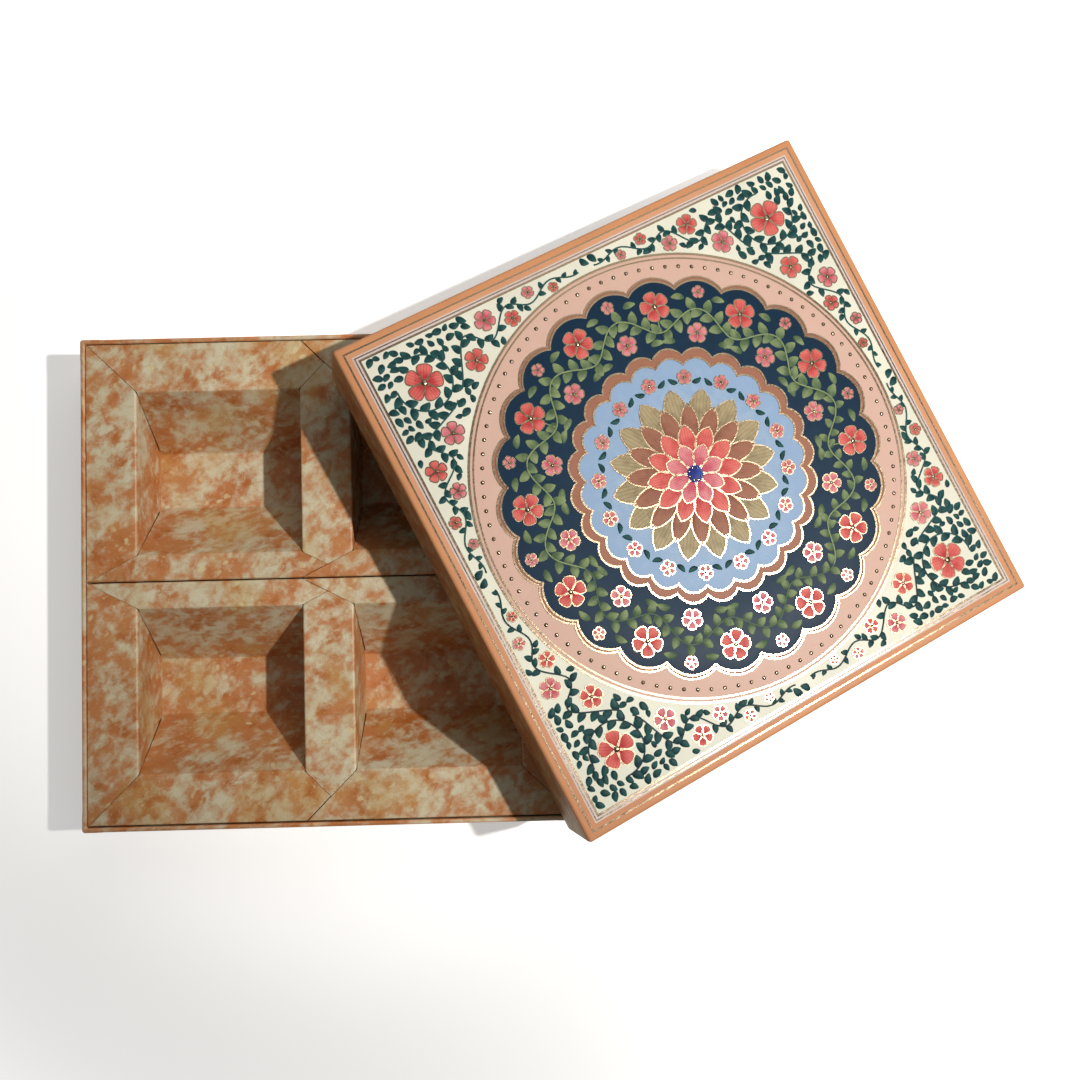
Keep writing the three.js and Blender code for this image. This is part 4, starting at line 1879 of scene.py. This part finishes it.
@dataclass
class Border:
    """The frame of coloured bands and foil lines, and the cream field inside it."""

    press: Press
    field_cells: int = 60

    def build(self) -> None:
        """Lays the bands and the field."""
        for band in BORDER:
            self.press.square_band(band)
        grid = square_grid(self.press.field_half, self.field_cells)
        self.press.plate(Tint.CREAM, grid, Lift.FIELD)


@dataclass
class Medallion:
    """The medallion's stepped plates with foil along their rims, and a ring of foil beads."""

    press: Press
    lobes: int = 24
    lobe_points: int = 16
    lobe_power: float = 0.75
    line_inset: float = 2.0
    line: float = 0.7
    beads: int = 96
    bead_reach: float = 95.2
    bead_size: float = 1.0
    bead_ground: float = 0.1
    bead_height: float = 0.55

    def scalloped(self, reach: float, cusp: float) -> Array:
        """A ring of outward lobes: the reach less a depth that grows towards each cusp.

        Args:
            reach: Radius at the lobes' crowns.
            cusp: How far the cusps cut in.

        Returns:
            Points shaped (count, 2).
        """
        angles = np.linspace(0, 2 * np.pi, self.lobes * self.lobe_points, endpoint=False)
        crown = np.abs(np.cos(self.lobes * angles / 2)) ** self.lobe_power
        return polar(reach - cusp * (1 - crown), angles)

    def build(self) -> None:
        """Lays the plates, the lines and the beads."""
        for step in MEDALLION:
            rim = self.scalloped(step.reach, step.cusp)
            self.press.disc(step.tint, rim, step.hole, step.lift)
            self.press.ribbon(rim[None], step.line, step.lift, True)
        line = self.scalloped(MEDALLION_REACH - self.line_inset, 0.0)
        self.press.ribbon(line[None], self.line, Lift.BAND, True)
        angles = around(self.beads, 0.5)
        beads = Stamps.at(polar(self.bead_reach, angles), angles, self.bead_size)
        self.press.stamp(None, Motif.pearl(), beads, self.bead_ground, self.bead_height)


@dataclass
class FlowerRing:
    """The dark ring's waving stem, with its leaves, open flowers and buds."""

    press: Press
    flower: Flower
    count: int = 12
    stem_points: int = 720
    stem_reach: float = 70.5
    stem_wave: float = 5.2
    stem_width: float = 0.55
    bloom_reach: float = 77.5
    bloom_size: float = 6.9
    bloom_turn: float = 0.3
    bud_reach: float = 64.5
    bud_size: float = 4.6
    small_reach: float = 83.5
    small_size: float = 2.852
    flower_lift: float = 0.02
    stalk: tuple[float, float] = (65.8, 71.0)
    stalk_width: float = 0.45
    leaf_spacing: float = 3.3
    leaf_share: float = 1.15
    leaf_spread: float = 0.95
    leaf_taper: float = 0.75
    leaf_clear: float = 0.4
    leaf_height: float = 0.3
    pair_places: tuple[tuple[float, float], ...] = ((80.6, 0.075), (60.6, 0.16))
    pair_share: float = 1.1
    pair_ratio: float = 0.25
    pair_bend: float = 0.08

    def build(self) -> None:
        """Lays the stem, whose radius waves as a cosine, the flowers in its hollows and the leaves."""
        ground = Lift.RING
        whole = np.linspace(0, 2 * np.pi, self.stem_points, endpoint=False)
        stem = polar(self.stem_reach + self.stem_wave * np.cos(self.count * whole), whole)
        self.press.ribbon(stem[None], self.stem_width, ground, True, Tint.MOSS)
        outer = around(self.count, 0.5)
        inner = around(self.count)
        blooms = polar(self.bloom_reach, outer)
        buds = polar(self.bud_reach, inner)
        level = ground + self.flower_lift
        self.flower.lay(Tint.CORAL, blooms, outer + self.bloom_turn, self.bloom_size, level)
        self.flower.lay(Tint.ROSE, buds, inner, self.bud_size, level)
        self.flower.lay(Tint.ROSE, polar(self.small_reach, inner), inner, self.small_size, level)
        stalks = np.stack([polar(reach, outer) for reach in self.stalk], 1)
        self.press.ribbon(stalks, self.stalk_width, ground, tint=Tint.MOSS)
        leaves = Stamps.along(np.concatenate([stem, stem[:1]]), self.leaf_spacing,
                              LEAF_LENGTH * self.leaf_share, self.leaf_spread, self.leaf_taper)
        clear = np.minimum(apart(leaves.spots, blooms).min(1) - self.bloom_size,
                           apart(leaves.spots, buds).min(1) - self.bud_size)
        leaves = leaves.kept(clear > self.leaf_clear)
        self.press.stamp(Tint.MOSS, Motif.leaf(), leaves, ground, self.leaf_height)
        for reach, shift in self.pair_places:
            for way in (1, -1):
                angles = inner + way * shift
                pair = Stamps.at(polar(reach, angles), angles + way * np.pi / 2,
                                 LEAF_LENGTH * self.pair_share, self.pair_ratio, -way * self.pair_bend)
                self.press.stamp(Tint.MOSS, Motif.leaf(), pair, ground, self.leaf_height)


@dataclass
class Rosette:
    """The middle flower: rings of petals, a hub with seeds, small flowers and their leaves."""

    press: Press
    flower: Flower
    petal_height: float = 0.3
    outline: float = 0.55
    outline_lift: float = 0.04
    hub_size: float = 4.6
    hub_lift: float = 0.6
    hub_height: float = 0.5
    seeds: int = 8
    seed_reach: float = 2.9
    seed_size: float = 0.6
    seed_lift: float = 0.95
    seed_height: float = 0.25
    blooms: int = 16
    bloom_reach: float = 44.0
    bloom_size: float = 3.4
    bloom_lift: float = 0.02
    leaf_reach: float = 41.5
    leaf_shift: float = 0.075
    leaf_turn: float = 1.15
    leaf_length: float = 5.4
    leaf_ratio: float = 0.25
    leaf_bend: float = 0.1
    leaf_height: float = 0.28

    def build(self) -> None:
        """Lays the rings from the outermost in, then the hub, the small flowers and their leaves."""
        ground = Lift.MIDDLE
        petal = Motif.lotus()
        for ring in ROSETTE:
            angles = around(ring.count, ring.phase)
            stamps = Stamps.at(polar(ring.start, angles), angles, ring.length, ring.ratio)
            level = ground + ring.lift
            self.press.stamp(ring.tint, petal, stamps, level, self.petal_height)
            self.press.ribbon(stamps.lay(*petal.edge()), self.outline, level + self.outline_lift)
        hub = Stamps.at(np.zeros((1, 2)), 0.0, self.hub_size)
        self.press.stamp(Tint.BLUE, Motif.pearl(), hub, ground + self.hub_lift, self.hub_height)
        seeds = Stamps.at(polar(self.seed_reach, around(self.seeds)), 0.0, self.seed_size)
        self.press.stamp(None, Motif.pearl(), seeds, ground + self.seed_lift, self.seed_height)
        angles = around(self.blooms)
        self.flower.lay(Tint.ROSE, polar(self.bloom_reach, angles), angles, self.bloom_size,
                        ground + self.bloom_lift)
        for way in (1, -1):
            leaves = Stamps.at(polar(self.leaf_reach, angles + way * self.leaf_shift),
                               angles + way * self.leaf_turn, self.leaf_length, self.leaf_ratio,
                               way * self.leaf_bend)
            self.press.stamp(Tint.LEAF, Motif.leaf(), leaves, ground, self.leaf_height)


@dataclass(frozen=True)
class Filler:
    """Loose leaves for bare ground: their grid, how clear they keep of all else, and how they vary."""

    seed: int = 7
    start: float = 2.2
    pitch: float = 4.1
    jitter: float = 0.7
    edge_clear: float = 1.9
    leaf_clear: float = 2.9
    bloom_clear: float = 2.0
    stem_clear: float = 1.2
    stray: float = 0.8
    lengths: tuple[float, float] = (3.8, 5.6)
    bend: float = 0.12


@dataclass
class Corners:
    """The field's corners: a wreathed flower, two side vines, and leaves in the space left.

    One corner is planned from the field's own corner, and turned to the other three.
    """

    press: Press
    flower: Flower
    filler: Filler = Filler()
    middle: tuple[float, float] = (20.0, 20.0)
    middle_size: float = 8.4
    wreath_reach: float = 12.4
    wreath_sweep: float = 0.78
    wreath_spacing: float = 3.6
    wreath_taper: float = 0.9
    vine_start: float = 33.0
    vine_gap: float = 4.0
    vine_swing: float = 0.2
    vine_spacing: float = 2.9
    vine_taper: float = 0.5
    bloom_start: float = 45.0
    bloom_pitch: float = 11.6
    bloom_count: int = 5
    bloom_sides: tuple[float, float] = (0.68, 0.3)
    bloom_share: float = 0.19
    bloom_least: float = 0.5
    bloom_most: float = 5.2
    bloom_lift: float = 0.03
    bloom_clear: float = 0.2
    edge_clear: float = 0.5
    stem_points: int = 64
    stem_width: float = 0.7
    leaf_spread: float = 0.85
    leaf_height: float = 0.3

    def room(self, x: Array) -> Array:
        """Height of the field between the border and the medallion's circle, at x along the border."""
        back = np.clip(self.press.field_half - x, -MEDALLION_REACH, MEDALLION_REACH)
        return self.press.field_half - np.sqrt(MEDALLION_REACH ** 2 - back ** 2)

    def in_corner(self, spots: Array, margin: float) -> Array:
        """Finds the points that lie between the border and the medallion.

        Args:
            spots: Points, counted from the field's corner.
            margin: How clear they must be of both.

        Returns:
            Whether each point does.
        """
        half = self.press.field_half
        inside = (spots.min(-1) > margin) & (spots.max(-1) < half)
        return inside & (np.linalg.norm(spots - half, axis=-1) > MEDALLION_REACH + margin)

    def vine(self) -> tuple[Array, Array]:
        """A corner's side vine: a wave between the border and the medallion, a flower in each hollow.

        The stem's height is the room there times a half less a share of a cosine, whose half
        period is the distance between flowers; the flowers stand on its other side in turn.

        Returns:
            The stem's points, and the middles and radii of the flowers.
        """
        x = np.linspace(self.vine_start, self.press.field_half - self.vine_gap, self.stem_points)
        swing = np.cos(np.pi * (x - self.bloom_start) / self.bloom_pitch)
        stem = np.stack([x, self.room(x) * (0.5 - self.vine_swing * swing)], -1)
        order = np.arange(self.bloom_count)
        spots = self.bloom_start + order * self.bloom_pitch
        room = self.room(spots)
        size = np.minimum(self.bloom_share * room + self.bloom_least, self.bloom_most)
        return stem, np.stack([spots, room * np.array(self.bloom_sides)[order % 2], size], -1)

    def build(self) -> None:
        """Plans one corner and lays it in all four."""
        stem, flowers = self.vine()
        sweep = np.linspace(-self.wreath_sweep, self.wreath_sweep, self.stem_points) * np.pi + np.pi / 4
        plans = (
            (stem, self.vine_spacing, self.vine_taper),
            (stem[:, ::-1], self.vine_spacing, self.vine_taper),
            (self.middle + polar(self.wreath_reach, sweep), self.wreath_spacing, self.wreath_taper),
        )
        stems = np.array([path for path, _, _ in plans])
        blooms = np.concatenate([[(*self.middle, self.middle_size)], flowers, flowers[:, [1, 0, 2]]])
        leaves = Stamps.joined([Stamps.along(path, spacing, LEAF_LENGTH, self.leaf_spread, taper)
                                for path, spacing, taper in plans])
        for share in (0.0, 0.5, 1.0):
            away = apart(leaves.reach(share), blooms[:, :2]) - blooms[:, 2]
            leaves = leaves.kept(away.min(1) > self.bloom_clear)
            leaves = leaves.kept(self.in_corner(leaves.reach(share), self.edge_clear))
        leaves = Stamps.joined([leaves, self.fillers(leaves, blooms, stems.reshape(-1, 2))])
        half = self.press.field_half
        for angle in around(4):
            placed = leaves.moved(-half).turned(angle)
            self.press.stamp(Tint.LEAF, Motif.leaf(), placed, Lift.FIELD, self.leaf_height)
            self.press.ribbon(turn(stems - half, angle), self.stem_width, Lift.FIELD, tint=Tint.LEAF)
            for tint, first in ((Tint.CORAL, 0), (Tint.ROSE, 1)):
                spots = turn(blooms[first::2, :2] - half, angle)
                heads = np.arctan2(spots[:, 1], spots[:, 0])
                self.flower.lay(tint, spots, heads, blooms[first::2, 2], Lift.FIELD + self.bloom_lift)

    def fillers(self, leaves: Stamps, blooms: Array, stems: Array) -> Stamps:
        """Places more leaves where a corner is still bare.

        A jittered grid of spots is thinned to those clear of the leaves, the flowers and the
        stems; each leaf heads along the nearest stem, give or take a seeded angle.

        Args:
            leaves: Leaves already placed.
            blooms: Middles and radii of the flowers.
            stems: All the stems' points.

        Returns:
            The new places.
        """
        filler = self.filler
        random = np.random.default_rng(filler.seed)
        line = np.arange(filler.start, self.press.field_half, filler.pitch)
        grid = np.stack(np.meshgrid(line, line), -1).reshape(-1, 2)
        grid = grid + random.uniform(-filler.jitter, filler.jitter, grid.shape)
        near_leaf = apart(grid, leaves.reach(0.5)).min(1)
        near_bloom = (apart(grid, blooms[:, :2]) - blooms[:, 2]).min(1)
        to_stem = apart(grid, stems)
        free = self.in_corner(grid, filler.edge_clear) & (near_leaf > filler.leaf_clear)
        free = free & (near_bloom > filler.bloom_clear) & (to_stem.min(1) > filler.stem_clear)
        run = np.gradient(stems, axis=0)[to_stem.argmin(1)]
        stray = random.uniform(-filler.stray, filler.stray, len(grid))
        heads = np.arctan2(run[:, 1], run[:, 0]) + stray
        lengths = random.uniform(*filler.lengths, len(grid))
        bends = random.uniform(-filler.bend, filler.bend, len(grid))
        back = grid - polar(lengths / 2, heads)
        return Stamps.at(back, heads, lengths, LEAF_RATIO, bends).kept(free)


@dataclass
class LidPrint:
    """The lid's raised print: border, medallion, flower ring, rosette and leafy corners."""

    plane: LidPlane
    foil: Material

    def build(self) -> None:
        """Lays each ornament, then makes the print's pieces."""
        press = Press(self.plane)
        flower = Flower(press)
        Border(press).build()
        Medallion(press).build()
        FlowerRing(press, flower).build()
        Rosette(press, flower).build()
        Corners(press, flower).build()
        press.pieces(self.foil)


# The boards and linings


@dataclass
class Carcass:
    """The boards, stays and linings that the frame already holds, dressed in their own papers."""

    nodes: dict[str, Piece]

    def build(self) -> None:
        """Dresses every node by what it is made of."""
        finishes = {
            "corner_stay": Board("gummed_stay", (201, 180, 142), (176, 150, 110), 0.35),
            "bottom_paper": Board("bottom_sheet", (216, 199, 168), (198, 176, 140), 0.3),
            "lining": Board("lining_sheet", (226, 214, 190), (208, 190, 160), 0.3),
            "board": Board("grey_board", (156, 146, 132), (110, 102, 92), 0.5),
        }
        made = {word: finish.material() for word, finish in finishes.items()}
        for name, node in self.nodes.items():
            word = next((word for word in made if word in name), None)
            if word:
                node.data.materials.clear()
                node.data.materials.append(made[word])
                LOG.info("%s: %s", name, made[word].name)


def main() -> None:
    """Loads the frame, builds the scene and notes the sizes."""
    logging.basicConfig(level=logging.INFO, format="%(name)s %(message)s")
    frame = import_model()
    Studio().build()
    mottled = MottledPaper().material()
    # The tray's rim: salmon on its folds, partly a painted highlight
    rim_paper = MottledPaper("wrap_mottled_paper", bare=(238, 152, 100), wear=0.6)
    Carcass(frame["nodes"]).build()
    Tray(rim_paper.material()).build()
    Insert(mottled).build()
    plane = LidPlane.read(frame["nodes"])
    LidShell(plane, WrapPaper().material()).build()
    LidPrint(plane, Foil().material()).build()


if __name__ == "__main__":
    main()
